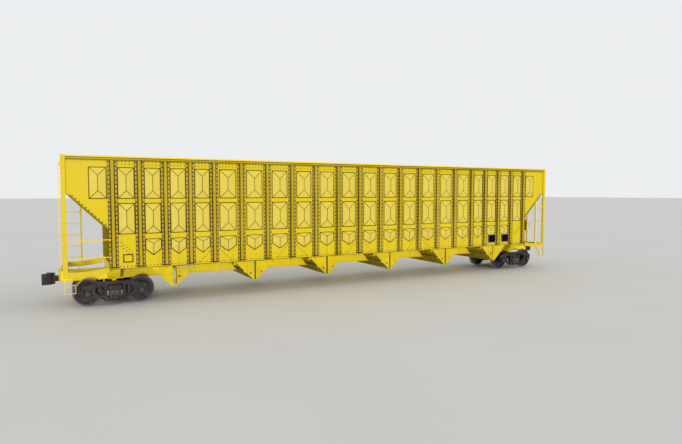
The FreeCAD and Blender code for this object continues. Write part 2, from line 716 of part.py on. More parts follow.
def hinge_brackets(body, middle, side):
    """Hinge pins of one door leaf with the brackets that hang them under the slope sheet."""
    x = middle + HINGE_X * side
    rod(body, "Y", (x, D.hinge_inner, HINGE_Z), D.hinge_outer - D.hinge_inner, D.hinge_pin_radius)
    foot = D.door_top + D.door_gap
    top = foot + D.hinge_drop * 2
    points = [
        (middle + flank(foot) * side, foot), (middle + flank(top) * side, top),
        (x + D.hinge_boss_radius * side, HINGE_Z), (x, HINGE_Z - D.hinge_pin_radius),
        (x - D.hinge_pin_radius * side, HINGE_Z),
    ]
    centre = (D.hinge_inner + D.hinge_outer) / 2
    for y in (D.hinge_inner, centre - D.hinge_plate / 2, D.hinge_outer - D.hinge_plate):
        prism(body, "XZ_Plane", points, y, y + D.hinge_plate)


def door_hinges():
    body = new_body("door_hinges")
    for middle in (D.hopper_one, D.hopper_two):
        for side in (-1, 1):
            hinge_brackets(body, middle, side)
    hinge_brackets(body, D.hopper_three, -1)
    mirror_all(body, "XZ_Plane", "YZ_Plane")


def door(label, middle, turned_round):
    """One door leaf: half of a hopper's V with its end plates, hinge lugs and stiffeners."""
    body = new_body(label, x=middle, turned=turned_round)
    gap = D.door_gap / 2
    top_x = flank(D.door_top)
    turn = TIP_HALF + (D.slope_sheet - SLOPE_DROP) / RISE
    floor = [
        (gap, D.tip_level), (TIP_HALF, D.tip_level), (top_x, D.door_top),
        (top_x, D.door_top + SLOPE_DROP), (turn, D.tip_level + D.slope_sheet),
        (gap, D.tip_level + D.slope_sheet),
    ]
    prism(body, "XZ_Plane", floor, -SHEET_OUT, SHEET_OUT)
    clear = SILL_FOOT + D.sill_clearance
    box(body, (0, top_x * 2), (-clear, clear), (D.sill_bottom - D.sill_clearance, D.door_top * 2), cut=True)
    head = D.body_bottom - D.door_head_gap
    plate = [
        (gap, D.tip_level), (TIP_HALF, D.tip_level), (top_x, D.door_top), (top_x, head),
        (gap + D.door_relief, head), (gap, HINGE_Z),
    ]
    along, down = cosine(D.slope_angle), sine(D.slope_angle)
    beam_x, beam_z = top_x / 2, D.tip_level + (top_x / 2 - TIP_HALF) * RISE
    beam = [
        (beam_x, beam_z),
        (beam_x + D.door_beam_width * along, beam_z + D.door_beam_width * down),
        (beam_x + D.door_beam_width * along + D.door_beam_depth * down,
         beam_z + D.door_beam_width * down - D.door_beam_depth * along),
        (beam_x + D.door_beam_depth * down, beam_z - D.door_beam_depth * along),
    ]
    low = D.door_top - D.hinge_drop * 2
    lug = [
        (top_x, D.door_top), (flank(low), low), (HINGE_X, HINGE_Z - D.hinge_boss_radius),
        (HINGE_X + D.hinge_boss_radius, HINGE_Z),
    ]
    third = (D.hinge_outer - D.hinge_inner) / 4
    for side in (-1, 1):
        edges = (SHEET_IN, SHEET_OUT) if side > 0 else (-SHEET_OUT, -SHEET_IN)
        prism(body, "XZ_Plane", plate, *edges)
        edges = (clear, SHEET_IN) if side > 0 else (-SHEET_IN, -clear)
        prism(body, "XZ_Plane", beam, *edges)
        for place_y in (D.hinge_inner + third, D.hinge_outer - third):
            start = place_y * side
            prism(body, "XZ_Plane", lug, start - D.hinge_plate / 2, start + D.hinge_plate / 2)
            rod(body, "Y", (HINGE_X, start - D.hinge_plate / 2, HINGE_Z), D.hinge_plate, D.hinge_boss_radius)
            rod(body, "Y", (HINGE_X, start - D.hinge_plate / 2, HINGE_Z), D.hinge_plate,
                D.hinge_pin_radius + D.hinge_fit, cut=True)


def centre_sill():
    """A flanged box through the whole wagon, open at both ends for the coupler shanks."""
    body = new_body("centre_sill")
    half = D.sill_length / 2 - D.striker_depth
    step = D.sill_bottom + D.sill_wall
    section = [
        (-SILL_FOOT, D.sill_bottom), (SILL_FOOT, D.sill_bottom), (SILL_FOOT, step), (SILL_HALF, step),
        (SILL_HALF, SILL_TOP), (-SILL_HALF, SILL_TOP), (-SILL_HALF, step), (-SILL_FOOT, step),
    ]
    prism(body, "YZ_Plane", section, -half, half)
    inside = SILL_HALF - D.sill_wall
    box(body, (-half, half), (-inside, inside), (step, SILL_TOP - D.sill_wall), cut=True)
    for _, side in ENDS:
        rod(body, "Z", (D.draft_pin_place * side, 0, step), D.sill_height - D.sill_wall * 2, D.draft_pin_radius)


def strikers():
    """Castings on the sill's ends, each with an opening that lets the coupler swing."""
    body = new_body("strikers")
    half = D.sill_length / 2
    low, high = D.sill_bottom - D.striker_margin, SILL_TOP + D.striker_margin
    reach = SILL_HALF + D.striker_margin
    box(body, (half - D.striker_depth, half), (-reach, reach), (low, high))
    inside = SILL_HALF - D.sill_wall
    under = D.coupler_level - D.shank_height / 2 - D.seat_gap
    box(body, (half - D.striker_depth, half), (-inside, inside), (under, SILL_TOP - D.sill_wall), cut=True)
    mirror_all(body, "YZ_Plane")


def sill_hoods():
    """Ridged covers over the centre sill inside the six hoppers."""
    body = new_body("sill_hoods")
    crest = SILL_TOP + D.hood_height
    for middle in HOPPERS:
        low = flank(SILL_TOP - SLOPE_DROP)
        high = flank(crest - SLOPE_DROP)
        points = [
            (middle - low, SILL_TOP), (middle + low, SILL_TOP), (middle + high, crest), (middle - high, crest),
        ]
        prism(body, "XZ_Plane", points, -SILL_HALF, SILL_HALF)
    reach = D.hopper_three * 2
    for side in (-1, 1):
        roof = [(SILL_HALF * side, SILL_TOP), (SILL_HALF * side, crest), (size(0), crest)]
        prism(body, "YZ_Plane", roof, -reach, reach, cut=True)
    mirror_all(body, "YZ_Plane")


def body_bolsters():
    """Beams over the bogies, arched over the sill, with the round centre plates below it."""
    body = new_body("body_bolsters")
    rise = (SHEET_IN + D.bolster_shoulder) / 2
    half = [
        (SHEET_IN, D.bolster_top), (SHEET_IN, D.bolster_side_low), (rise, D.bolster_side_low),
        (D.bolster_shoulder, D.bolster_low), (SILL_HALF, D.bolster_low), (SILL_HALF, SILL_TOP),
    ]
    points = half + [(-y, z) for y, z in reversed(half)]
    start = BOGIE_PLACE - D.bolster_width / 2
    prism(body, "YZ_Plane", points, start, start + D.bolster_width)
    x = (BOGIE_PLACE - D.side_bearing_half, BOGIE_PLACE + D.side_bearing_half)
    low = D.bowl_rim + D.side_bearing_gap * 2
    for side in (-1, 1):
        middle = D.side_bearing * side
        box(body, x, (middle - D.side_bearing_half, middle + D.side_bearing_half), (low, D.bolster_low))
    rod(body, "Z", (BOGIE_PLACE, 0, D.bowl_floor + D.seat_gap),
        D.sill_bottom - D.bowl_floor - D.seat_gap, D.plate_radius)
    mirror_all(body, "YZ_Plane")


def bulkheads():
    """Upright plates across the wagon between the bolsters and the end slopes."""
    body = new_body("bulkheads")
    x = (D.bulkhead_place, D.bulkhead_place + D.slope_sheet)
    box(body, x, (-SHEET_IN, SHEET_IN), (D.bolster_top, slope_level(D.bulkhead_place)))
    mirror_all(body, "YZ_Plane")


def end_side_rails():
    """Channels from the corner posts along the end frames' feet, bent up to the side sheets."""
    body = new_body("end_side_rails")
    inside = HALF_WIDTH - D.frame_flange
    web = HALF_WIDTH - D.frame_wall

    def strip(low, high):
        return [
            (SIDE_END, low + D.frame_rise), (D.frame_bend, low), (CORNER_IN, low), (CORNER_IN, high),
            (D.frame_bend, high), (SIDE_END, high + D.frame_rise),
        ]

    prism(body, "XZ_Plane", strip(D.frame_low, FRAME_TOP), web, HALF_WIDTH)
    prism(body, "XZ_Plane", strip(FRAME_TOP - D.frame_wall, FRAME_TOP), inside, web)
    prism(body, "XZ_Plane", strip(D.frame_low, D.frame_low + D.frame_wall), inside, web)
    mirror_all(body, "XZ_Plane", "YZ_Plane")


def end_sills():
    """Channels across the ends, resting on the centre sill between the corner posts."""
    body = new_body("end_sills")
    wall = D.frame_wall
    inside = END_OUT - D.frame_flange
    points = [
        (inside, SILL_TOP), (END_OUT, SILL_TOP), (END_OUT, FRAME_TOP), (inside, FRAME_TOP),
        (inside, FRAME_TOP - wall), (END_OUT - wall, FRAME_TOP - wall),
        (END_OUT - wall, SILL_TOP + wall), (inside, SILL_TOP + wall),
    ]
    reach = HALF_WIDTH - D.frame_flange
    prism(body, "XZ_Plane", points, -reach, reach)
    mirror_all(body, "YZ_Plane")


def half_turn(body):
    """The whole body so far copied half a turn round the wagon's middle."""
    twin = repeat(body, "PartDesign::PolarPattern", "Turned")
    twin.TransformMode = "Whole shape"
    twin.Axis = (origin_plane(body, "Z_Axis"), [""])
    twin.Occurrences = 2
    twin.Angle = 360


def side_ladders():
    """Stiles between slope and end frame, with rungs to the corner posts, at two corners."""
    body = new_body("side_ladders")
    half = D.stile_width / 2
    rung_y = -(SHEET_OUT + D.rung_centre_depth)
    top = slope_level(D.stile_place + half) + D.stile_width
    box(body, (D.stile_place - half, D.stile_place + half), (-HALF_WIDTH, -SHEET_OUT), (FRAME_TOP, top))
    start = D.stile_place + half
    rung = rod(body, "X", (start, rung_y, D.side_rung_level), CORNER_IN - start, D.rung_radius)
    row_of(body, [rung], D.side_rung_pitch, D.side_rungs, role="XY_Plane")
    half_turn(body)


def end_ladders():
    """Ladders on the outside of the ends, beside the corner posts."""
    body = new_body("end_ladders")
    outer = HALF_LENGTH + D.end_ladder_depth
    thick, width = D.step_bar, D.stile_width
    near = HALF_WIDTH - width
    far = near - D.end_ladder_width
    top = D.end_rung_level + D.end_rung_pitch * (D.end_rungs - 1) + D.end_rung_pitch / 2
    for y, root in ((near, HALF_LENGTH), (far, END_OUT)):
        box(body, (outer - thick, outer), (y, y + width), (D.frame_low, top))
        box(body, (root, outer), (y, y + width), (top - width, top))
    box(body, (HALF_LENGTH, outer), (near, near + width), (D.frame_low, D.frame_low + width))
    box(body, (END_OUT, outer), (far, far + width), (FRAME_TOP - width, FRAME_TOP))
    start = (outer - thick / 2, far, D.end_rung_level)
    rung = rod(body, "Y", start, D.end_ladder_width + width, D.rung_radius)
    row_of(body, [rung], D.end_rung_pitch, D.end_rungs, role="XY_Plane")
    half_turn(body)


def grab_rails():
    """Two long rails at two corners of the sides, from the last post to the corner post."""
    body = new_body("grab_rails")
    y = SHEET_OUT + D.rung_centre_depth
    flange = LAST_POST + D.post_foot / 2
    foot = (flange, SIDE_END)
    for level in (D.grab_low, D.grab_high):
        rod(body, "X", (flange, y, level), CORNER_IN - flange, D.rung_radius)
        box(body, foot, (SHEET_OUT + D.post_wall, y), (level - D.rung_radius, level + D.rung_radius))
    half_turn(body)


def corner_steps():
    """Stirrup steps hung from the end frame at the four corners."""
    body = new_body("corner_steps")
    y = (HALF_WIDTH - D.step_width, HALF_WIDTH)
    bar = D.step_bar
    box(body, (D.step_outer, D.step_outer + bar), y, (D.step_low, D.frame_low))
    for level in (D.step_low, D.step_high):
        box(body, (D.step_inner, D.step_outer), y, (level, level + bar))
    leg = [
        (D.step_inner, D.step_low), (D.step_inner + bar, D.step_low), (D.step_inner + bar, D.step_knee),
        (D.step_brace + bar, D.frame_low), (D.step_brace, D.frame_low), (D.step_inner, D.step_knee),
    ]
    prism(body, "XZ_Plane", leg, *y)
    mirror_all(body, "XZ_Plane", "YZ_Plane")


# Hand brake and air brake at end b
def brake_stand():
    """Upright bar on the end sill that holds the hand brake's gear case."""
    body = new_body("brake_stand")
    half = D.stand_width / 2
    y = (D.stand_place - half, D.stand_place + half)
    box(body, (END_OUT - D.stand_width, END_OUT), y, (FRAME_TOP, D.stand_top))
    y = (D.stand_place - half, D.stand_place + D.gear_width)
    for level in (D.gear_low, D.gear_low + D.gear_height - D.stand_width):
        box(body, (END_OUT - D.frame_wall, END_OUT), y, (level, level + D.stand_width))
    brace_y = (D.stand_place - half, D.stand_place + half)
    reach = D.hopper_three + TIP_HALF + (D.stand_top - D.tip_level) / RISE
    box(body, (reach, END_OUT - D.stand_width), brace_y, (D.stand_top - D.stand_width, D.stand_top))
    near = D.stand_place + half + D.frame_wall
    box(body, (END_OUT, END_OUT + D.gear_depth), (near, near + D.gear_width),
        (D.gear_low, D.gear_low + D.gear_height))


def brake_wheel():
    body = new_body("brake_wheel")
    face = END_OUT + D.gear_depth
    y = D.stand_place + D.stand_width / 2 + D.frame_wall + D.gear_width / 2
    z = D.gear_low + D.gear_height / 2
    rod(body, "X", (face, y, z), D.brake_wheel_hub, D.brake_wheel_hub_radius)
    ring = body.newObject("PartDesign::AdditiveTorus", "Rim")
    ring.Placement = FreeCAD.Placement(FreeCAD.Vector(), AXIS_TURNS["X"])
    tie(ring, "Radius1", D.brake_wheel_radius - D.brake_wheel_rim)
    tie(ring, "Radius2", D.brake_wheel_rim)
    middle = face + D.brake_wheel_hub / 2
    place(ring, middle, y, z)
    half, reach = D.brake_wheel_spoke / 2, D.brake_wheel_radius - D.brake_wheel_rim
    box(body, (middle - half, middle + half), (y - half, y + half), (z - reach, z + reach))
    box(body, (middle - half, middle + half), (y - reach, y + reach), (z - half, z + half))


def air_brake_vessels():
    """Air reservoir and brake cylinder fixed to the bulkhead under the end slope."""
    body = new_body("air_brake_vessels")
    back = D.bulkhead_place + D.slope_sheet
    x = back + D.reservoir_offset
    rod(body, "Y", (x, 0, D.reservoir_level), D.reservoir_length, D.reservoir_radius)
    half = D.stile_width / 2
    for y in (D.reservoir_strap, D.reservoir_length - D.reservoir_strap):
        box(body, (back, x), (y - half, y + half), (D.reservoir_level - half, D.reservoir_level + half))
    rod(body, "X", (back, D.cylinder_radius, D.cylinder_level), D.cylinder_length, D.cylinder_radius)
    rod(body, "X", (back + D.cylinder_length, D.cylinder_radius, D.cylinder_level), D.piston_rod_length,
        D.piston_rod_radius)


def uncoupling_levers():
    """Bars along the end sills that lift the couplers' locks, with a handle at one corner."""
    body = new_body("uncoupling_levers")
    x = D.lever_place
    outer = HALF_WIDTH - D.corner_leg
    rod(body, "Y", (x, -outer, D.lever_level), outer - SILL_FOOT, D.lever_radius)
    rod(body, "Z", (x, -outer, D.lever_level - D.lever_drop), D.lever_drop, D.lever_radius)
    half = D.stile_width / 2
    for y in (D.stile_width - outer, -(SILL_FOOT + D.stile_width)):
        box(body, (END_OUT, x), (y - half, y + half), (D.lever_level - D.lever_radius, SILL_TOP + D.lever_bracket))
    half_turn(body)


# Couplers
def coupler(label, end):
    """Shank and head with guard arm; the knuckle sits between the head's two lugs."""
    body = new_body(label, turned=(end < 0))
    half_length = D.coupled_length / 2
    root = half_length - D.head_length
    half = D.shank_width / 2
    low, high = D.coupler_level - D.shank_height / 2, D.coupler_level + D.shank_height / 2
    box(body, (D.draft_pin_place, root), (-half, half), (low, high))
    rod(body, "Z", (D.draft_pin_place, 0, low), D.shank_height, half)
    rod(body, "Z", (D.draft_pin_place, 0, low), D.shank_height, D.draft_pin_radius + D.draft_fit, cut=True)
    low, high = D.coupler_level - D.head_height / 2, D.coupler_level + D.head_height / 2
    plan = [
        (size(0), -half), (D.head_neck, -half), (D.head_back, -D.head_half), (D.lug_reach, -D.head_half),
        (D.lug_reach, -D.lug_lip), (D.throat_depth, D.throat_near), (D.throat_depth, D.throat_far),
        (D.lug_reach, D.guard_root), (D.head_length, D.guard_inner), (D.head_length, D.guard_tip),
        (D.guard_crook, D.guard_crest), (D.head_back, D.guard_inner), (D.head_neck, half), (size(0), half),
    ]
    prism(body, "XY_Plane", [(root + x, y) for x, y in plan], low, high)
    slot_half = D.knuckle_height / 2 + D.knuckle_gap
    front, side = D.lug_reach + D.knuckle_gap, -(D.head_half + D.knuckle_gap)
    slot = [(D.pocket_back, side), (front, side), (front, D.lug_lip), (D.pocket_back, D.lug_lip)]
    prism(body, "XY_Plane", [(root + x, y) for x, y in slot], D.coupler_level - slot_half,
          D.coupler_level + slot_half, cut=True)
    rod(body, "Z", (root + D.knuckle_pin_place, -D.knuckle_pin_side, low), D.head_height, D.knuckle_pin_radius)


def knuckle(label, end):
    """Hooked jaw that turns on the pin between the head's lugs."""
    body = new_body(label, turned=(end < 0))
    root = D.coupled_length / 2 - D.head_length
    half = D.knuckle_height / 2
    low, high = D.coupler_level - half, D.coupler_level + half
    plan = [
        (D.knuckle_tail, -D.knuckle_side), (D.knuckle_bend, -D.knuckle_bulge),
        (D.knuckle_front, -D.knuckle_shoulder), (D.knuckle_front, D.knuckle_nose - D.knuckle_round),
        (D.knuckle_front - D.knuckle_round, D.knuckle_nose), (D.knuckle_bend, D.knuckle_nose),
        (D.knuckle_throat, -D.knuckle_inner), (D.knuckle_tail, -D.knuckle_inner),
    ]
    prism(body, "XY_Plane", [(root + x, y) for x, y in plan], low, high)
    pin = (root + D.knuckle_pin_place, -D.knuckle_pin_side, low)
    rod(body, "Z", pin, D.knuckle_height, D.knuckle_pin_radius + D.knuckle_fit, cut=True)


# Bogies
def bogie_frames(end, centre):
    """The two cast side frames of a bogie: jaws for the axles and a window for the bolster."""
    body = new_body("bogie_%s_frames" % end, x=centre)
    axle = D.wheelbase / 2
    jaw = D.cup_radius + D.jaw_gap
    tip = axle + jaw + D.pedestal_leg
    inner_leg = axle - jaw - D.pedestal_leg
    half = [
        (D.frame_foot_half, D.frame_bottom), (inner_leg, D.jaw_bottom), (axle - jaw, D.jaw_bottom),
        (axle - jaw, D.pedestal_roof), (axle + jaw, D.pedestal_roof), (axle + jaw, D.jaw_bottom),
        (tip, D.jaw_bottom), (tip, D.pedestal_top),
        (tip - D.frame_shoulder_run, D.pedestal_top + D.frame_shoulder_rise), (D.frame_crest_half, D.frame_top),
    ]
    points = half + [(-x, z) for x, z in reversed(half)]
    start = (D.journal_centres - D.frame_thickness) / 2
    prism(body, "XZ_Plane", points, start, start + D.frame_thickness)
    deep = (start, start + D.frame_thickness)
    window = D.window_half
    box(body, (-window, window), deep, (D.spring_seat, D.window_top), cut=True)
    column = window + D.column_width
    port = [
        (column, D.port_top), (column, D.port_low), (D.port_foot, D.port_low), (D.port_outer, D.port_outer_low),
        (D.port_outer, D.port_outer_high), (D.port_crown, D.port_crown_level),
    ]
    for side in (-1, 1):
        prism(body, "XZ_Plane", [(x * side, z) for x, z in port], *deep, cut=True)
    middle, half = D.journal_centres / 2, D.spring_shelf_width / 2
    box(body, (-window, window), (middle - half, middle + half), (D.spring_seat - D.spring_shelf, D.spring_seat))
    mirror_all(body, "XZ_Plane")


def bogie_bearings(end, centre):
    """Bearing cups under the pedestals with the adapters between them and the frames."""
    body = new_body("bogie_%s_bearings" % end, x=centre)
    axle = D.wheelbase / 2
    start = (D.journal_centres - D.cup_length) / 2
    rod(body, "Y", (axle, start, AXLE_LEVEL), D.cup_length, D.cup_radius)
    half = D.cup_radius - D.frame_wall
    width = (start + D.frame_wall, start + D.cup_length - D.frame_wall)
    box(body, (axle - half, axle + half), width, (AXLE_LEVEL, D.pedestal_roof))
    rod(body, "Y", (axle, start, AXLE_LEVEL), D.cup_length, D.journal_radius + D.seat_gap, cut=True)
    mirror_all(body, "XZ_Plane", "YZ_Plane")


def bogie_bolster(end, centre):
    body = new_body("bogie_%s_bolster" % end, x=centre)
    tip = D.bogie_bolster_length / 2
    seat = D.bowl_floor - D.frame_wall
    half = [
        (D.bolster_belly_half, SPRING_TOP - D.bolster_belly), (D.bolster_seat_half, SPRING_TOP), (tip, SPRING_TOP),
        (tip, seat - D.bolster_tip_drop), (D.bolster_flat_half, seat),
    ]
    points = half + [(-y, z) for y, z in reversed(half)]
    width = D.bogie_bolster_width / 2
    prism(body, "YZ_Plane", points, -width, width)
    bowl = D.plate_radius + D.bowl_clearance
    rod(body, "Z", (0, 0, SPRING_TOP), D.bowl_rim - SPRING_TOP, bowl + D.bowl_wall)
    rod(body, "Z", (0, 0, D.bowl_floor), D.bowl_rim - D.bowl_floor, bowl, cut=True)
    top = D.bowl_rim + D.side_bearing_gap
    reach = D.side_bearing_half
    for side in (-1, 1):
        middle = D.side_bearing * side
        box(body, (-reach, reach), (middle - reach, middle + reach), (seat - D.side_bearing_root, top))


def bogie_springs(end, centre):
    body = new_body("bogie_%s_springs" % end, x=centre)
    start = (-D.spring_pitch, (D.journal_centres - D.spring_pitch) / 2, D.spring_seat)
    coil = rod(body, "Z", start, D.spring_height, D.spring_radius)
    start = (-D.spring_pitch, (D.journal_centres + D.spring_pitch) / 2, D.spring_seat)
    twin = rod(body, "Z", start, D.spring_height, D.spring_radius)
    row_of(body, [coil, twin], D.spring_pitch, 3)
    mirror_all(body, "XZ_Plane")


def bogie_brakes(end, centre):
    """Brake beams between the side frames, with a head and a shoe in front of each wheel."""
    body = new_body("bogie_%s_brakes" % end, x=centre)
    reach = (D.journal_centres - D.frame_thickness) / 2
    x, z, half = D.brake_beam_place, D.brake_beam_level, D.brake_beam_half
    box(body, (x - half, x + half), (-reach, reach), (z - half, z + half))
    tread = (D.back_to_back + D.rim_width) / 2 + D.flange_width / 2
    axle = D.wheelbase / 2
    for side in (-1, 1):
        y = tread * side
        near, far = y - D.shoe_width / 2, y + D.shoe_width / 2
        box(body, (x, axle - D.tread_radius), (near, far),
            (AXLE_LEVEL - D.shoe_half_height, AXLE_LEVEL + D.shoe_half_height))
        rod(body, "Y", (axle, near, AXLE_LEVEL), D.shoe_width, D.tread_radius + D.shoe_clearance, cut=True)
    mirror_all(body, "YZ_Plane")


def wheel_pair(label, centre):
    """Two flanged wheels on their seats: hub, dished plate, rim and flange."""
    body = new_body(label, x=centre, z=AXLE_LEVEL)
    back = D.back_to_back / 2
    front = back + D.rim_width
    inner_rim = D.tread_radius - D.rim_depth
    hub_back = back + D.rim_width / 2 - D.hub_length / 2 - D.frame_wall
    hub_front = hub_back + D.hub_length
    web = back + D.web_at_rim
    hub_web = back + D.web_at_hub
    points = [
        (D.seat_radius, hub_back), (D.hub_radius, hub_back), (D.hub_radius, hub_web),
        (inner_rim, web - D.web_thickness), (inner_rim, back), (D.tread_radius + D.flange_height, back + D.flange_chamfer),
        (D.tread_radius + D.flange_height, back + D.flange_width / 2), (D.tread_radius, back + D.flange_width),
        (D.tread_radius - D.tread_taper, front), (inner_rim, front), (inner_rim, web), (D.hub_radius, hub_web + D.web_thickness),
        (D.hub_radius, hub_front), (D.seat_radius, hub_front),
    ]
    turned(body, points)
    mirror_all(body, "XZ_Plane")


def axle(label, centre):
    body = new_body(label, x=centre, z=AXLE_LEVEL)
    back = D.back_to_back / 2
    hub_back = back + D.rim_width / 2 - D.hub_length / 2 - D.frame_wall
    hub_front = hub_back + D.hub_length
    cup_end = (D.journal_centres + D.cup_length) / 2 + D.side_bearing_gap
    half = [
        (D.axle_radius, size(0)), (D.axle_radius, hub_back), (D.seat_radius, hub_back),
        (D.seat_radius, hub_front), (D.journal_radius, hub_front + D.frame_wall), (D.journal_radius, cup_end),
        (D.cap_radius, cup_end), (D.cap_radius, cup_end + D.cap_thickness),
    ]
    end_y = cup_end + D.cap_thickness
    points = [(size(0), end_y), (size(0), -end_y)] + [(r, -y) for r, y in reversed(half[1:])] + half[1:]
    turned(body, points)


def build():
    for make in (side_sheets, side_posts, end_bay_sheets, top_chords, end_top_rails, corner_posts, end_sheets,
                 end_slopes, hopper_saddles, door_hinges, centre_sill, strikers, sill_hoods,
                 body_bolsters, bulkheads, end_side_rails, end_sills, side_ladders, end_ladders,
                 grab_rails, corner_steps, brake_stand, brake_wheel, air_brake_vessels,
                 uncoupling_levers):
        make()
    places = [-middle for middle in reversed(HOPPERS)] + list(HOPPERS)
    for number, middle in enumerate(places, start=1):
        if number > 1:
            door("door_%d_a" % number, middle, True)
        if number < len(places):
            door("door_%d_b" % number, middle, False)
    for end, sign in ENDS:
        coupler("coupler_" + end, sign)
        knuckle("knuckle_" + end, sign)
        centre = BOGIE_PLACE * sign
        bogie_frames(end, centre)
        bogie_bearings(end, centre)
        bogie_bolster(end, centre)
        bogie_springs(end, centre)
        bogie_brakes(end, centre)
        for place_name, offset in (("outer", D.wheelbase * sign / 2), ("inner", D.wheelbase * -sign / 2)):
            wheel_pair("wheels_%s_%s" % (end, place_name), centre + offset)
            axle("axle_%s_%s" % (end, place_name), centre + offset)


def check():
    """Stop if any object failed, or a node's shape is empty or not valid."""
    for thing in DOC.Objects:
        if "Invalid" in thing.State or "Error" in thing.State:
            raise RuntimeError("%s did not compute: %s" % (thing.Name, thing.getStatusString()))
    for node in NODES:
        if node.Shape.isNull() or not node.Shape.isValid() or not node.Shape.Solids:
            raise RuntimeError("%s has no valid solid" % node.Label)


build()
DOC.recompute()
check()
os.makedirs("parts", exist_ok=True)
for node in NODES:
    node.Shape.exportStep(os.path.join("parts", node.Label + ".step"))
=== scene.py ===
"""Open hopper wagon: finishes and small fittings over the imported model."""

import math

import bmesh
import bpy
from bpy.props import FloatProperty, FloatVectorProperty, IntProperty, PointerProperty
from mathutils import Matrix, Vector


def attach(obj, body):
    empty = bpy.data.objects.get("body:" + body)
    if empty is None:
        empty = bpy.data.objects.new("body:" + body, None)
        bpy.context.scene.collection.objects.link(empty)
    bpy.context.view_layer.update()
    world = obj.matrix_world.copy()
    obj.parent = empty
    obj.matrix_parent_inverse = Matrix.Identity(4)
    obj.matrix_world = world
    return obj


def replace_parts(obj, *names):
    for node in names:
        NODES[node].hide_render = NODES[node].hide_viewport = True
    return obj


bl_info = {
    "name": "Open Hopper Wagon",
    "version": (1, 0, 0),
    "blender": (4, 5, 0),
    "location": "3D View > Sidebar > Wagon",
    "description": "Dresses the packed model of an open hopper wagon with finishes and small fittings",
    "category": "Object",
}

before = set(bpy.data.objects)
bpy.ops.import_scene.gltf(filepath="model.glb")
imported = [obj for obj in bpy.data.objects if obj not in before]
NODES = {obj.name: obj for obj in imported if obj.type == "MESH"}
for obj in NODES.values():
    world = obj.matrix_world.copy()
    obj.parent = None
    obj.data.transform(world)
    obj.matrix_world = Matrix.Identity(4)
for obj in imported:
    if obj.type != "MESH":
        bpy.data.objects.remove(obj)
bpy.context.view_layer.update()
SHELL = "wagon_body"

# Places along the side, in metres: the posts, and the middles of the bays between them
WIDE_PITCH, NARROW_PITCH = 0.965, 0.805
LAST_WIDE = 6 * WIDE_PITCH
POSTS = [WIDE_PITCH * k for k in range(-6, 7)]
POSTS += [side * (LAST_WIDE + NARROW_PITCH * k) for side in (-1, 1) for k in range(1, 5)]
WIDE_BAYS = [WIDE_PITCH * (k + 0.5) for k in range(-6, 6)]
NARROW_BAYS = [side * (LAST_WIDE + NARROW_PITCH * (k + 0.5)) for side in (-1, 1) for k in range(4)]
SIDE_END = 9.150
CORNER_INNER = 10.320
HOPPERS = [-7.165, -4.341, -1.447, 1.447, 4.341, 7.165]
SADDLES = [(a + b) / 2 for a, b in zip(HOPPERS, HOPPERS[1:])]
SIDES = (("front", -1), ("back", 1))

# Depths of the side's surfaces, and levels on it
SHEET_INNER = 1.432
SHEET_FACE = 1.440
POST_FACE = 1.448
SHEET_FOOT = 1.223
POST_FOOT = 1.305
POST_HEAD = 4.682
SHEET_ROWS = (1.298, 4.562, 4.660)
# Chord levels of painted shadow: the top of the dark foot, and the edges of the dark groove line
CHORD_FOOT = 4.712
CHORD_GROOVE_SHADOW = (4.747, 4.777)

# Pressed panels: widths, half height, depth and the levels of their middles
WIDE_PRESSING, NARROW_PRESSING, END_PRESSING = 0.58, 0.49, 0.50
PRESSING_HALF = 0.49
PRESSING_DEPTH = 0.040
PRESSING_ROWS = (3.973, 2.835)
LAST_PRESSING = 9.430

# Hoppers, centre sill and bogies
TIP_LEVEL, TIP_HALF = 0.533, 0.055
SLOPE_FOOT = 7.220
DOOR_EDGE = 0.672
DOOR_HEAD = 1.205
SILL_FACE = 0.200
SILL_LOW, SILL_HIGH = 0.779, 1.107
BOGIE_PLACES = {"a": -8.965, "b": 8.965}
AXLE_OFFSET, AXLE_LEVEL = 0.8125, 0.444
BEARING_FACE = 1.125
FRAME_FACE = 1.0795

# Stage: the camera's place, tilt and turn (in radians), and each lamp's turns and softness (in degrees)
CAMERA_PLACE = (-10.3694, -19.4056, 3.6488)
CAMERA_TILT, CAMERA_TURN = 0.0551, -0.4880
LAMPS = {"key": ((67, 0, -18), 12), "front": ((87, 0, -14), 7), "side": ((66, 0, 66), 30)}


def linear(red, green, blue):
    """A colour given as screen values from 0 to 255, as Blender's linear numbers."""
    def part(value):
        value /= 255
        return value / 12.92 if value <= 0.04045 else ((value + 0.055) / 1.055) ** 2.4
    return part(red), part(green), part(blue)


def colour(label, description, red, green, blue):
    return FloatVectorProperty(
        name=label, description=description, subtype="COLOR", size=3, min=0, max=1,
        default=linear(red, green, blue),
    )


def length(label, description, default):
    return FloatProperty(name=label, description=description, default=default, min=0.0005, unit="LENGTH")


def number(label, description, default, low=0):
    return FloatProperty(name=label, description=description, default=default, min=low)


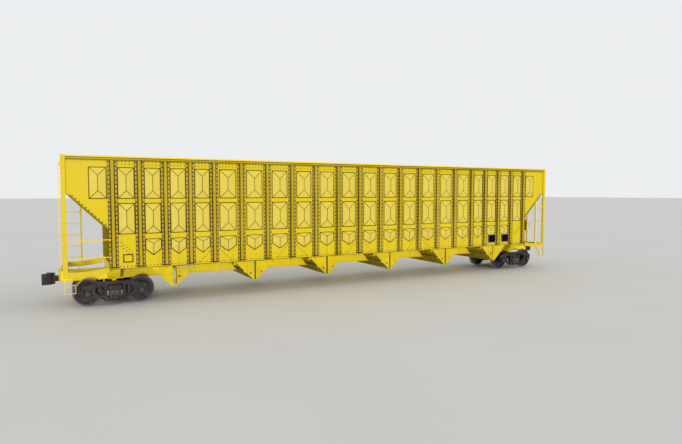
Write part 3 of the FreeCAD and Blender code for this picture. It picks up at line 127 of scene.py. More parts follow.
class WagonPaint(bpy.types.PropertyGroup):
    body: colour("Body", "Paint of the side and end sheets", 219, 192, 22)
    # Centre sill colour: the body's yellow lightened as painted light, standing in for light under the body
    # where shade falls; the end frames' side rails take it on their inner faces
    sill: colour("Centre sill", "Fresh paint under the body, where it stays clean", 255, 230, 36)
    panel: colour("Raised panels", "Paint on the raised parts of the pressings, paler with age", 218, 197, 82)
    web: colour("Post webs", "Paint on the outer webs of the side posts", 184, 156, 8)
    flange: colour("Post flanges", "Faded paint along the riveted flanges of the posts", 196, 174, 72)
    # Paint for ladders, rails and steps: paler than the body, as painted highlight; also on the brake stand's
    # frame and the chords' upper edges
    rail: colour("Rails", "Fresh paint on ladders, rails, steps and the chords' upper edges", 246, 213, 40)
    # Bulkhead colour: the body's yellow darkened to olive as painted shade, on the bulkheads and on the bands
    # along the end slopes' edges
    shade: colour("Bulkheads", "Stained paint on the bulkheads behind the end frames", 152, 131, 12)
    # Colour of the leaves' sloping sheets: the body's yellow darkened to olive as painted shade; also on the
    # brake stand's gear case and the end slopes' bolts
    leaf: colour("Leaves", "Stained paint on the undersides of the hopper leaves", 148, 130, 4)
    # Colour of the dark lines along the pressings, post edges, sheet foot, chords and slope edges: partly
    # dirt and partly painted shade
    crease: colour("Creases", "Dirt along the edges of the pressings", 66, 56, 16)
    grime: colour("Grime", "Road dirt that settles low on the wagon", 92, 76, 42)
    rust: colour("Rust", "Rust at chips, edges and in the load space", 96, 52, 26)
    rivet: colour("Rivets", "Stained paint on rivet heads", 36, 31, 12)


class WagonIron(bpy.types.PropertyGroup):
    casting: colour("Castings", "Bogie side frames, bolsters and couplers", 48, 46, 46)
    wheel: colour("Wheels", "Sides of the wheels", 50, 48, 47)
    tread: colour("Treads", "Polished running surface", 150, 145, 140)
    spring: colour("Springs", "Coil springs", 74, 72, 70)
    dust: colour("Dust", "Grey dust that settles on castings and wheels", 88, 82, 78)
    rim: colour("Wheel rims", "Rust-stained rims of the wheels", 102, 80, 98)
    # Bolt head colour: pale, partly worn metal and partly painted highlight on the bearing caps; the springs
    # take it on their upper faces and in patches
    bright: colour("Bolt heads", "Worn heads of the bearing cap bolts", 168, 162, 156)
    latch: colour("Latch bars", "Pale worn steel on the first and last hopper", 186, 180, 164)


class WagonFittings(bpy.types.PropertyGroup):
    rivet_radius: length("Post rivets", "Radius of the rivet heads on the posts", 0.026)
    sheet_rivet: length("Sheet rivets", "Radius of the rivet heads on the sheets", 0.020)
    rivet_height: length("Rivet height", "Height of the rivet heads", 0.014)
    rivet_pitch: length("Rivet pitch", "Distance between the rivets of a row", 0.112)
    crease_radius: length("Crease radius", "Half the width of the beads along the pressings' ridges", 0.009)
    outline_radius: length("Outline radius", "Half the width of the beads round the pressings", 0.013)
    round_edge: length("Casting edges", "Rounding of the castings' edges", 0.008)
    coil_turns: IntProperty(name="Coil turns", description="Turns of a bogie spring", default=6, min=2)
    coil_bar: length("Coil bar", "Radius of a spring's bar", 0.013)


class WagonStage(bpy.types.PropertyGroup):
    floor: colour("Floor", "Colour of the plain floor", 236, 236, 234)
    backdrop: colour("Backdrop", "Colour behind the wagon", 236, 238, 240)
    lens: number("Lens", "Focal length of the camera, in millimetres", 27.53, 5)
    key: number("Key light", "Strength of the main lamp", 0.36)
    front: number("Front light", "Strength of the low lamp in front", 1.38)
    side: number("Side light", "Strength of the lamp from the right", 0.288)
    sky: number("Sky light", "Strength of the surrounding light", 0.60)


# Shapes
def add_block(bm, low, high):
    """A block between two corners."""
    low, high = Vector(low), Vector(high)
    verts = bmesh.ops.create_cube(bm, size=1)["verts"]
    bmesh.ops.scale(bm, vec=high - low, verts=verts)
    bmesh.ops.translate(bm, vec=(low + high) / 2, verts=verts)
    return verts


def add_bar(bm, start, end, radius, sides=10, tip=None):
    """A round bar, or a cone when its tip has another radius."""
    start, end = Vector(start), Vector(end)
    axis = end - start
    place = Matrix.Translation((start + end) / 2) @ axis.to_track_quat("Z", "Y").to_matrix().to_4x4()
    made = bmesh.ops.create_cone(
        bm, cap_ends=True, segments=sides, radius1=radius, radius2=radius if tip is None else tip,
        depth=axis.length, matrix=place,
    )
    return made["verts"]


def add_head(bm, foot, facing, radius, height, sides=6):
    """A rivet or bolt head on a surface."""
    foot, facing = Vector(foot), Vector(facing).normalized()
    return add_bar(bm, foot - facing * height * 0.2, foot + facing * height, radius, sides, radius * 0.62)


def whole(verts):
    """The vertices with the edges and faces that join them."""
    verts = set(verts)
    edges = {edge for vert in verts for edge in vert.link_edges}
    faces = {face for vert in verts for face in vert.link_faces}
    return list(verts) + list(edges) + list(faces)


def new_verts(made):
    """The vertices among what an operation made."""
    return [item for item in made["geom"] if isinstance(item, bmesh.types.BMVert)]


def moved(x, y=0, z=0):
    return Matrix.Translation((x, y, z))


def copy_turned(bm, verts, matrix):
    """One more copy of a shape, moved by a matrix."""
    fresh = new_verts(bmesh.ops.duplicate(bm, geom=whole(verts)))
    bmesh.ops.transform(bm, matrix=matrix, verts=fresh)
    return fresh


def add_row(bm, verts, step, count):
    """Copies of a shape at equal steps, the first one included."""
    row = list(verts)
    for index in range(1, count):
        row += copy_turned(bm, verts, Matrix.Translation(Vector(step) * index))
    return row


def spread(bm, verts, places):
    """A shape made at the middle, copied to all places but the first and then moved there."""
    for place in places[1:]:
        copy_turned(bm, verts, place)
    bmesh.ops.transform(bm, matrix=places[0], verts=verts)


def mirror_all(bm, *axes):
    """Everything made so far, mirrored across the wagon's planes in turn."""
    for axis in axes:
        bmesh.ops.mirror(bm, geom=whole(bm.verts), axis=axis, merge_dist=1e-7)


def half_turn(bm):
    """Everything made so far, again on the other side of the wagon, half a turn round."""
    copy_turned(bm, list(bm.verts), Matrix.Rotation(math.pi, 4, "Z"))


def soften(bm, size, edges=None):
    """Takes the sharpness off the edges of a small plate."""
    bmesh.ops.bevel(
        bm, geom=edges or bm.edges[:], offset=size, segments=1, affect="EDGES", profile=0.5, material=-1)


def thicken(bm, faces, move):
    """Draws flat faces out into a plate and keeps the back closed."""
    made = bmesh.ops.extrude_face_region(bm, geom=faces, use_keep_orig=True)
    bmesh.ops.translate(bm, vec=move, verts=new_verts(made))


def add_object(name, data):
    """A new object in the scene."""
    made = bpy.data.objects.new(name, data)
    bpy.context.scene.collection.objects.link(made)
    return made


def add_piece(name, bm, finish, body=SHELL, smooth=None):
    """Turns a mesh being built into a piece with a finish, riding on a body."""
    bmesh.ops.recalc_face_normals(bm, faces=bm.faces)
    mesh = bpy.data.meshes.new(name)
    piece = add_object(name, mesh)
    bm.to_mesh(mesh)
    bm.free()
    mesh.materials.append(FINISHES[finish])
    if smooth:
        mesh.shade_smooth()
        mesh.set_sharp_from_angle(angle=math.radians(smooth))
    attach(piece, body)
    return piece


# Finishes
class Nodes:
    """A node tree being built."""

    def __init__(self, tree):
        self.tree = tree

    def add(self, kind, inputs=None, **settings):
        """A new node, with what goes into its sockets."""
        node = self.tree.nodes.new(kind)
        for key, value in settings.items():
            setattr(node, key, value)
        for key, value in (inputs or {}).items():
            self.feed(node.inputs[key], value)
        return node

    def feed(self, socket, value):
        """Joins a socket to another one, or sets a number or colour on it."""
        if isinstance(value, bpy.types.NodeSocket):
            self.tree.links.new(value, socket)
        elif socket.type == "RGBA" and len(value) == 3:
            socket.default_value = (*value, 1)
        else:
            socket.default_value = value


class Recipe(Nodes):
    """A material being mixed from nodes that read Object coordinates."""

    def __init__(self, name):
        self.material = bpy.data.materials.new(name)
        self.material.use_nodes = True
        super().__init__(self.material.node_tree)
        self.shader = self.tree.nodes["Principled BSDF"]
        self.place = self.add("ShaderNodeTexCoord").outputs["Object"]

    def noise(self, scale, detail=4, roughness=0.55, stretch=None):
        place = self.place
        if stretch:
            place = self.add("ShaderNodeMapping", {"Vector": place, "Scale": stretch}).outputs["Vector"]
        inputs = {"Vector": place, "Scale": scale, "Detail": detail, "Roughness": roughness}
        return self.add("ShaderNodeTexNoise", inputs).outputs["Fac"]

    def step(self, value, low, high, out_low=0.0, out_high=1.0):
        """A soft step between two levels of a value."""
        inputs = {"Value": value, "From Min": low, "From Max": high, "To Min": out_low, "To Max": out_high}
        return self.add("ShaderNodeMapRange", inputs, interpolation_type="SMOOTHSTEP").outputs["Result"]

    def above(self, value, level, blur=0.003):
        return self.step(value, level - blur, level + blur)

    def below(self, value, level, blur=0.003):
        return self.step(value, level + blur, level - blur)

    def math(self, operation, *numbers):
        return self.add("ShaderNodeMath", dict(enumerate(numbers)), operation=operation).outputs["Value"]

    def times(self, first, second):
        return self.math("MULTIPLY", first, second)

    def size(self, value):
        return self.math("ABSOLUTE", value)

    def mix(self, share, first, second):
        return self.add("ShaderNodeMix", {0: share, 6: first, 7: second}, data_type="RGBA").outputs[2]

    def along(self, axis, source=None):
        return self.add("ShaderNodeSeparateXYZ", {"Vector": source or self.place}).outputs[axis]

    def facing(self, axis):
        return self.along(axis, self.add("ShaderNodeNewGeometry").outputs["Normal"])

    def bump(self, height, strength, distance=0.004):
        node = self.add("ShaderNodeBump", {"Height": height, "Strength": strength, "Distance": distance})
        self.feed(self.shader.inputs["Normal"], node.outputs["Normal"])

    def finish(self, base, roughness, metallic=0.0, sheen=0.25):
        for key, value in (("Base Color", base), ("Roughness", roughness),
                           ("Metallic", metallic), ("Specular IOR Level", sheen)):
            self.feed(self.shader.inputs[key], value)
        return self.material


def weathered(recipe, base, paint, grime=0.5, rust=0.4):
    """Paint that has faded in patches, streaked with rain and chipped to rust."""
    fade = recipe.times(recipe.step(recipe.noise(0.45, 3), 0.38, 0.68), 0.16)
    base = recipe.mix(fade, base, paint.panel)
    streaks = recipe.step(recipe.noise(1.0, 5, 0.6, (7, 7, 0.35)), 0.52, 0.80)
    streaks = recipe.times(streaks, recipe.step(recipe.along("Z"), 0.5, 3.2, 1.0, 0.25))
    base = recipe.mix(recipe.times(streaks, grime), base, paint.grime)
    foot = recipe.step(recipe.along("Z"), 1.9, 0.6)
    foot = recipe.times(foot, recipe.step(recipe.noise(2.2, 5, 0.6), 0.35, 0.75))
    base = recipe.mix(recipe.times(foot, grime * 0.55), base, paint.grime)
    chips = recipe.times(recipe.step(recipe.noise(11, 7, 0.62), 0.665, 0.70), rust)
    return recipe.mix(chips, base, paint.rust), chips


def coat(recipe, base, chips, rough=(0.42, 0.58), sheen=0.14, fresh=False):
    """Half-gloss paint, sunken at its chips, which are rough unless the paint is fresh."""
    roughness = recipe.step(recipe.noise(3.5, 4), 0.3, 0.7, *rough)
    if not fresh:
        roughness = recipe.math("ADD", roughness, chips)
    recipe.bump(recipe.math("SUBTRACT", recipe.noise(45, 3), chips), 0.12)
    return recipe.finish(base, roughness, sheen=sheen)


def scoured(recipe, base, chips, paint, sheen=0.25):
    """Paint below, and rusty steel on the upward faces where the load slides."""
    inner = recipe.step(recipe.facing("Z"), 0.05, 0.3)
    worn = recipe.mix(recipe.step(recipe.noise(2.2, 6, 0.65), 0.35, 0.65), paint.rust, paint.grime)
    base = recipe.mix(inner, base, worn)
    roughness = recipe.math("ADD", recipe.step(recipe.noise(3, 4), 0.3, 0.7, 0.45, 0.65), chips)
    recipe.bump(recipe.noise(30, 4), 0.16)
    return recipe.finish(base, roughness, sheen=sheen)


def painted(name, base, paint, grime=0.5, rust=0.4, sheen=0.14):
    """One colour of paint with its wear."""
    recipe = Recipe(name)
    base, chips = weathered(recipe, base, paint, grime, rust)
    return coat(recipe, base, chips, (0.40, 0.56), sheen)


def sheet_paint(name, paint):
    """Side sheets: paler raised panels, dark outlines at their feet that are partly dirt and partly painted
    shade, darker ridges, and rust on the inner faces.
    """
    recipe = Recipe(name)
    out = recipe.size(recipe.along("Y"))
    raised = recipe.step(out, SHEET_FACE + 0.0010, SHEET_FACE + 0.0035)
    # Dark outline at the pressings' feet, partly dirt and partly painted shade; and darker ridges
    outline = recipe.times(recipe.step(out, SHEET_FACE + 0.0002, SHEET_FACE + 0.0008),
                           recipe.step(out, SHEET_FACE + 0.0040, SHEET_FACE + 0.0018))
    ridge = recipe.step(out, SHEET_FACE + 0.0378, SHEET_FACE + 0.0395)
    base = recipe.mix(recipe.times(raised, 0.85), paint.body, paint.panel)
    base = recipe.mix(recipe.times(outline, 0.55), base, paint.crease)
    base = recipe.mix(recipe.times(ridge, 0.35), base, paint.crease)
    base, chips = weathered(recipe, base, paint, 0.42, 0.35)
    inner = recipe.step(recipe.times(recipe.facing("Y"), recipe.along("Y")), 0.1, -0.1)
    worn = recipe.mix(recipe.step(recipe.noise(1.4, 6, 0.65), 0.35, 0.62), paint.rust, paint.web)
    return coat(recipe, recipe.mix(inner, base, worn), chips, (0.40, 0.55))


def post_paint(name, paint):
    """Side posts: gold webs, flanks darkened as painted shade, stained flanges, and a band of painted shadow
    above the foot.
    """
    recipe = Recipe(name)
    web = recipe.above(recipe.size(recipe.along("Y")), POST_FACE + 0.008, 0.004)
    patchy = recipe.times(recipe.step(recipe.noise(6, 5, 0.6, (1, 1, 0.4)), 0.35, 0.7), 0.55)
    base = recipe.mix(web, recipe.mix(patchy, paint.flange, paint.web), paint.web)
    # Painted shade: flanks that face along the wagon are darkened towards the dark line colour
    flank = recipe.step(recipe.size(recipe.facing("X")), 0.3, 0.7)
    base = recipe.mix(recipe.times(flank, 0.88), base, paint.crease)
    level = recipe.along("Z")
    # Painted shadow: a dark band above the post's foot, the body's yellow below it, and a dark line of
    # painted shadow along the sheet's foot
    for top, shade in ((POST_FOOT, paint.rivet), (POST_FOOT - 0.046, paint.body),
                       (SHEET_FOOT + 0.016, paint.crease)):
        base = recipe.mix(recipe.below(level, top, 0.002), base, shade)
    base, chips = weathered(recipe, base, paint, 0.45, 0.4)
    return coat(recipe, base, chips)


def rail_paint(name, paint):
    """Side rails of the end frames: lighter sill paint on the inner faces, as painted light where they lie in
    shade.
    """
    recipe = Recipe(name)
    # Inner faces: the lighter sill paint, as painted light where these faces lie in shade
    inner = recipe.step(recipe.times(recipe.facing("Y"), recipe.along("Y")), 0.1, -0.1)
    base, chips = weathered(recipe, recipe.mix(inner, paint.body, paint.sill), paint, 0.25, 0.2)
    return coat(recipe, base, chips, (0.40, 0.56), 0.1, fresh=True)


def stand_paint(name, paint):
    """Brake stand: the frame in the paler paint as painted highlight, and the gear case darkened to olive as
    painted shade.
    """
    recipe = Recipe(name)
    # Gear case: this box takes the olive painted shade
    case = recipe.below(recipe.size(recipe.along("Y")), 0.459)
    case = recipe.times(case, recipe.above(recipe.along("Z"), 1.787))
    case = recipe.times(case, recipe.below(recipe.along("Z"), 2.273))
    base, chips = weathered(recipe, recipe.mix(case, paint.rail, paint.leaf), paint, 0.3, 0.3)
    return coat(recipe, base, chips, sheen=0.1, fresh=True)


def chord_paint(name, paint):
    """Top chords: a paler upper edge as painted highlight, a dark groove line and a dark foot as painted
    shadow, with plain corners.
    """
    recipe = Recipe(name)
    level = recipe.along("Z")
    low, high = CHORD_GROOVE_SHADOW
    groove_shadow = recipe.times(recipe.above(level, low), recipe.below(level, high))
    foot = recipe.below(level, CHORD_FOOT, 0.004)
    # Painted highlight: the paler paint above the groove line
    base = recipe.mix(recipe.above(level, high - 0.001, 0.004), paint.web, paint.rail)
    # Painted shadow: the groove line and the foot darkened
    base = recipe.mix(recipe.times(groove_shadow, 0.85), base, paint.crease)
    base = recipe.mix(recipe.times(foot, 0.85), base, paint.crease)
    corner = recipe.above(recipe.size(recipe.along("X")), CORNER_INNER - 0.002, 0.004)
    base, chips = weathered(recipe, recipe.mix(corner, base, paint.body), paint, 0.35, 0.45)
    return coat(recipe, base, chips)


def leaf_paint(name, paint):
    """Hopper leaves: yellow side plates, and the sloping sheets between them darkened to olive as painted
    shade.
    """
    recipe = Recipe(name)
    # Sideways faces keep the body's yellow; the other faces take the olive painted shade
    side = recipe.step(recipe.size(recipe.facing("Y")), 0.5, 0.9)
    base, chips = weathered(recipe, recipe.mix(side, paint.leaf, paint.body), paint, 0.5, 0.5)
    return scoured(recipe, base, chips, paint, 0.05)


def scoured_plate(name, paint):
    """Slope plates, painted below."""
    recipe = Recipe(name)
    base, chips = weathered(recipe, paint.body, paint, 0.6, 0.5)
    return scoured(recipe, base, chips, paint)


def dark_iron(name, base, dust, rough=0.62, metallic=0.35, texture=70):
    """Cast or rolled iron with dust on its upper faces."""
    recipe = Recipe(name)
    dusty = recipe.times(recipe.step(recipe.noise(5, 6, 0.62), 0.38, 0.72), 0.5)
    shade = recipe.mix(dusty, base, dust)
    upper = recipe.times(recipe.step(recipe.facing("Z"), 0.3, 0.95), 0.45)
    shade = recipe.mix(upper, shade, dust)
    roughness = recipe.step(recipe.noise(9, 5), 0.3, 0.7, rough - 0.1, rough + 0.12)
    recipe.bump(recipe.noise(texture, 4), 0.3, 0.003)
    return recipe.finish(shade, roughness, metallic)


def wheel_steel(name, iron):
    """Wheels: dark plates, dusty rims and a polished tread."""
    recipe = Recipe(name)
    along = recipe.math("SUBTRACT", recipe.size(recipe.along("X")), BOGIE_PLACES["b"])
    along = recipe.math("SUBTRACT", recipe.size(along), AXLE_OFFSET)
    rise = recipe.math("SUBTRACT", recipe.along("Z"), AXLE_LEVEL)
    square = recipe.math("ADD", recipe.times(along, along), recipe.times(rise, rise))
    reach = recipe.math("SQRT", square)
    rim = recipe.step(reach, 0.362, 0.385)
    tread = recipe.step(reach, 0.4145, 0.4155)
    dusty = recipe.times(recipe.step(recipe.noise(6, 6, 0.62), 0.38, 0.7), 0.45)
    shade = recipe.mix(dusty, iron.wheel, iron.dust)
    shade = recipe.mix(recipe.times(rim, 0.6), shade, iron.rim)
    shade = recipe.mix(recipe.times(tread, 0.6), shade, iron.tread)
    roughness = recipe.step(recipe.noise(8, 4), 0.3, 0.7, 0.5, 0.68)
    roughness = recipe.math("SUBTRACT", roughness, recipe.times(tread, 0.25))
    recipe.bump(recipe.noise(60, 4), 0.2, 0.003)
    return recipe.finish(shade, roughness, 0.45)


def bare_plate(name, base, edge):
    """Blank plates, scuffed a little paler."""
    recipe = Recipe(name)
    scuffs = recipe.times(recipe.step(recipe.noise(14, 5), 0.5, 0.75), 0.3)
    recipe.bump(recipe.noise(50, 3), 0.1)
    roughness = recipe.step(recipe.noise(10, 4), 0.3, 0.7, 0.45, 0.65)
    return recipe.finish(recipe.mix(scuffs, base, edge), roughness, sheen=0.04)


FINISHES = {}


def mix_finishes(settings):
    """Mixes every finish and keeps it under its short name."""
    paint, iron = settings.wagon_paint, settings.wagon_iron
    FINISHES.update(
        sheet=sheet_paint("Sheet paint", paint),
        post=post_paint("Post paint", paint),
        body=painted("Body paint", paint.body, paint, 0.4, 0.3),
        # Sill paint: lightened as painted light against the shade under the body
        sill=painted("Sill paint", paint.sill, paint, 0.15, 0.1, 0.1),
        chord=chord_paint("Chord paint", paint),
        # Ladders, rails and steps: paint lightened as painted highlight
        rail=painted("Rail paint", paint.rail, paint, 0.2, 0.1),
        # Bulkheads and slope bands: olive painted shade
        shade=painted("Stained paint", paint.shade, paint, 0.4, 0.4, 0.0),
        rails=rail_paint("Frame paint", paint),
        stand=stand_paint("Stand paint", paint),
        # Slope bolts: olive painted shade
        olive=painted("Stained bolts", paint.leaf, paint, 0.6, 0.4, 0.1),
        # Hopper leaves: olive painted shade on the sloping sheets
        leaf=leaf_paint("Leaf paint", paint),
        plate=scoured_plate("Scoured plate", paint),
        # Dark lines: partly dirt and partly painted shade
        crease=painted("Crease dirt", paint.crease, paint, 0.5, 0.3),
        rivet=painted("Rivet paint", paint.rivet, paint, 0.6, 0.6),
        casting=dark_iron("Casting", iron.casting, iron.dust),
        wheel=wheel_steel("Wheel steel", iron),
        # Springs: the pale bolt head colour on upper faces and in patches, partly dust and partly painted
        # highlight
        spring=dark_iron("Spring steel", iron.spring, iron.bright, 0.5, 0.4, 120),
        bright=dark_iron("Bolt steel", iron.bright, iron.dust, 0.5, 0.3, 120),
        latch=dark_iron("Latch steel", iron.latch, iron.dust, 0.6, 0.1, 90),
        black=bare_plate("Black plate", linear(7, 5, 12), linear(40, 38, 46)),
        edge=bare_plate("Plate edge", linear(96, 96, 118), linear(60, 60, 66)),
    )


NODE_FINISHES = {name: finish for finish, names in {
    "sheet": ("side_sheet_front", "side_sheet_back", "side_end_sheets"),
    "post": ("side_posts",),
    "chord": ("top_chords", "end_top_rails"),
    # End slopes: olive painted shade on their sloping faces
    "leaf": ("end_slopes",),
    "plate": ("hopper_saddles", "sill_hoods", "end_sheets"),
    # Bolsters and centre sill: the sill paint, lightened as painted light
    "sill": ("body_bolsters", "centre_sill"),
    # Bulkheads: the olive painted shade
    "shade": ("bulkheads",),
    # Ladders, grab rails, steps and the brake wheel: paint lightened as painted highlight
    "rail": ("side_ladders", "end_ladders", "grab_rails", "corner_steps", "brake_wheel"),
    "rails": ("end_side_rails",),
    "stand": ("brake_stand",),
    "casting": ("coupler", "knuckle"),
}.items() for name in names}


class WAGON_OT_finishes(bpy.types.Operator):
    """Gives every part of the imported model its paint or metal"""
    bl_idname = "wagon.finishes"
    bl_label = "Finishes"

    def execute(self, context):
        mix_finishes(context.scene)
        for name, node in NODES.items():
            finish = NODE_FINISHES.get(name) or NODE_FINISHES.get(name[:-2]) or "body"
            if name.startswith("bogie_"):
                finish = "spring" if name.endswith("springs") else "casting"
            elif name.startswith(("wheels_", "axle_")):
                finish = "wheel"
            elif name.startswith("door_") and name != "door_hinges":
                # Door leaves: olive painted shade on their sloping sheets
                finish = "leaf"
            if not node.material_slots:
                node.data.materials.append(None)
            for slot in node.material_slots:
                slot.material = FINISHES[finish]
        return {"FINISHED"}


class WAGON_OT_side_rivets(bpy.types.Operator):
    """Rows of rivets on the post flanges and along the edges of the side sheets"""
    bl_idname = "wagon.side_rivets"
    bl_label = "Side rivets"

    def execute(self, context):
        fittings = context.scene.wagon_fittings
        for side, sign in SIDES:
            self.post_rivets(side, sign, fittings)
            self.post_shadow_lines(side, sign)
            self.sheet_rivets(side, sign, fittings)
            # Painted shadow: a dark strip along the foot of each side sheet
            bm = bmesh.new()
            low, high = sorted((SHEET_FACE * sign, (SHEET_FACE + 0.006) * sign))
            add_block(bm, (-SIDE_END, low, SHEET_FOOT), (SIDE_END, high, SHEET_FOOT + 0.016))
            add_piece("foot_line_" + side, bm, "crease")
        return {"FINISHED"}

    def post_rivets(self, side, sign, fittings):
        """Two rows on every post, one on each flange."""
        bm = bmesh.new()
        count, low, high, offset = 24, 1.375, 4.640, 0.105
        head = add_head(bm, (-offset, POST_FACE * sign, low), (0, sign, 0),
                        fittings.rivet_radius, fittings.rivet_height)
        row = add_row(bm, head, (0, 0, (high - low) / (count - 1)), count)
        spread(bm, row + copy_turned(bm, row, moved(offset * 2)), [moved(post) for post in POSTS])
        add_piece("post_rivets_" + side, bm, "rivet")

    def post_shadow_lines(self, side, sign):
        """Dark lines of painted shadow along the edges of the flanges and beside the webs."""
        bm = bmesh.new()
        low, high = sorted((SHEET_FACE * sign, (POST_FACE + 0.002) * sign))
        shadow_lines, width = [], 0.016
        for x in (-0.144, -0.082, 0.068, 0.130):
            shadow_lines += add_block(bm, (x, low, POST_FOOT - 0.044), (x + width, high, POST_HEAD))
        spread(bm, shadow_lines, [moved(post) for post in POSTS])
        add_piece("post_seams_" + side, bm, "crease")

    def sheet_rivets(self, side, sign, fittings):
        """Rows in every bay, and heads where the slope sheets inside meet the side sheets."""
        bm = bmesh.new()
        pitch = fittings.rivet_pitch
        look = (0, sign, 0), fittings.sheet_rivet, fittings.rivet_height
        for bays, half in ((WIDE_BAYS, 0.31), (NARROW_BAYS, 0.23)):
            count = int(half * 2 / pitch) + 1
            start = -(count - 1) * pitch / 2
            for middle in bays:
                for level in SHEET_ROWS:
                    head = add_head(bm, (middle + start, SHEET_FACE * sign, level), *look)
                    add_row(bm, head, (pitch, 0, 0), count)
        for x, level, clear in self.slope_places(pitch / math.sqrt(2)):
            if min(abs(x - post) for post in POSTS) > clear:
                add_head(bm, (x, SHEET_FACE * sign, level), *look)
        add_piece("sheet_rivets_" + side, bm, "rivet")

    def slope_places(self, step):
        """Places along the slopes, with the distance that each keeps from a post."""
        places = []
        for middle in SADDLES:
            gap = 2.894 if abs(middle) < 4 else 2.809
            peak = TIP_LEVEL + gap / 2 - 0.08
            for way in (-1, 1):
                places += [(middle + way * (peak - level), level, 0.15)
                           for level in self.levels(1.32, min(peak, 1.72), step)]
        for end in (-1, 1):
            for drop, first in ((0, 1.36 + 5 * step), (0.13, 1.72)):
                for level in self.levels(first, 2.36, step):
                    x = SLOPE_FOOT + level + drop - TIP_LEVEL + 0.02
                    if x < 9.0:
                        places.append((x * end, level, 0.155))
        return places

    def levels(self, first, limit, step):
        """Numbers at equal steps, below a limit."""
        return [first + step * index for index in range(math.ceil((limit - first) / step))]


class WAGON_OT_slope_edges(bpy.types.Operator):
    """Angles with bolts where the end slopes show under the end bays' sheets, olive and dark as painted
    shade.
    """
    bl_idname = "wagon.slope_edges"
    bl_label = "Slope edges"

    def execute(self, context):
        edge, band, bolts = bmesh.new(), bmesh.new(), bmesh.new()
        start = Vector((SIDE_END + 0.004, SHEET_FACE, SIDE_END + 0.004 - SLOPE_FOOT + TIP_LEVEL))
        span = (CORNER_INNER - 0.004 - start.x) * math.sqrt(2)
        add_block(edge, (0, -0.001, 0.002), (span - 0.016, 0.007, 0.016))
        add_block(band, (0, -0.001, 0.016), (span - 0.060, 0.005, 0.060))
        count = 12
        head = add_bar(bolts, (0.060, 0.004, 0.074), (0.060, 0.016, 0.074), 0.032, 8, 0.026)
        add_row(bolts, head, ((span - 0.22) / (count - 1), 0, 0), count)
        place = Matrix.Translation(start) @ Matrix.Rotation(-math.pi / 4, 4, "Y")
        # Edge line, band and bolts: painted shade on the slopes' underside
        for name, bm, finish in (("slope_edges", edge, "crease"), ("slope_bands", band, "shade"),
                                 ("slope_bolts", bolts, "olive")):
            bmesh.ops.transform(bm, matrix=place, verts=bm.verts)
            mirror_all(bm, "Y", "X")
            add_piece(name, bm, finish)
        return {"FINISHED"}


class WAGON_OT_hopper_gussets(bpy.types.Operator):
    """Small plates that close the corners between the leaves, the slopes and the side sheets"""
    bl_idname = "wagon.hopper_gussets"
    bl_label = "Hopper gussets"

    def execute(self, context):
        bm = bmesh.new()
        inner, top = DOOR_EDGE + 0.012, SHEET_FOOT - 0.001
        corners = [(inner, TIP_LEVEL + inner - TIP_HALF), (top - TIP_LEVEL + TIP_HALF, top), (inner, top)]
        depth = SHEET_INNER + 0.001
        face = bm.faces.new([bm.verts.new((x, depth, z)) for x, z in corners])
        thicken(bm, [face], (0, SHEET_FACE - depth, 0))
        spread(bm, list(bm.verts), [moved(middle) @ Matrix.Scale(way, 4, (1, 0, 0))
                                    for middle in HOPPERS for way in (-1, 1) if middle * way < 7])
        mirror_all(bm, "Y")
        add_piece("hopper_gussets", bm, "body")
        return {"FINISHED"}


class WAGON_OT_panel_creases(bpy.types.Operator):
    """Dark beads along the edges and ridges of the pressed panels, partly dirt and partly painted shade."""
    bl_idname = "wagon.panel_creases"
    bl_label = "Panel creases"

    def execute(self, context):
        wide, narrow = (WIDE_BAYS, WIDE_PRESSING), (NARROW_BAYS, NARROW_PRESSING)
        inner_bays = [x for x in NARROW_BAYS if abs(x) < 8.2]
        for side, sign in SIDES:
            bm = bmesh.new()
            for level in PRESSING_ROWS:
                for bays, width in (wide, narrow):
                    self.hipped(bm, bays, width, level, sign)
            self.hipped(bm, (-LAST_PRESSING, LAST_PRESSING), END_PRESSING, PRESSING_ROWS[0], sign)
            self.pointed(bm, *wide, sign)
            self.pointed(bm, inner_bays, NARROW_PRESSING, sign)
            add_piece("panel_creases_" + side, bm, "crease")
        return {"FINISHED"}

    def lines(self, bm, bays, corners, ridges):
        """The same pattern of beads in each of the bays: thicker round a pressing than on it."""
        fittings = bpy.context.scene.wagon_fittings
        outline = list(zip(corners, corners[1:] + corners[:1]))
        verts = []
        for pairs, radius in ((outline, fittings.outline_radius), (ridges, fittings.crease_radius)):
            for start, end in pairs:
                verts += add_bar(bm, start, end, radius, 4)
        spread(bm, verts, [moved(middle) for middle in bays])

    def hipped(self, bm, bays, width, level, sign):
        """An upright pressing with a ridge down its middle and four slanting ones."""
        half, foot, top = width / 2, SHEET_FACE * sign, (SHEET_FACE + PRESSING_DEPTH) * sign
        ridge = PRESSING_HALF - half
        corners = [(x, foot, level + z) for x, z in (
            (-half, -PRESSING_HALF), (half, -PRESSING_HALF), (half, PRESSING_HALF), (-half, PRESSING_HALF))]
        low, high = (0, top, level - ridge), (0, top, level + ridge)
        ridges = [(low, high)] + list(zip(corners, (low, low, high, high)))
        self.lines(bm, bays, corners, ridges)

    def pointed(self, bm, bays, width, sign):
        """A low pressing with a point at its foot."""
        half, foot = width / 2, SHEET_FACE * sign
        shoulder, point, head = 1.821, 1.625, 2.154
        corners = [(x, foot, z) for x, z in (
            (-half, shoulder), (0, point), (half, shoulder), (half, head), (-half, head))]
        apex = (0, (SHEET_FACE + PRESSING_DEPTH) * sign, 2.010)
        self.lines(bm, bays, corners, [(corners[index], apex) for index in (1, 3, 4)])


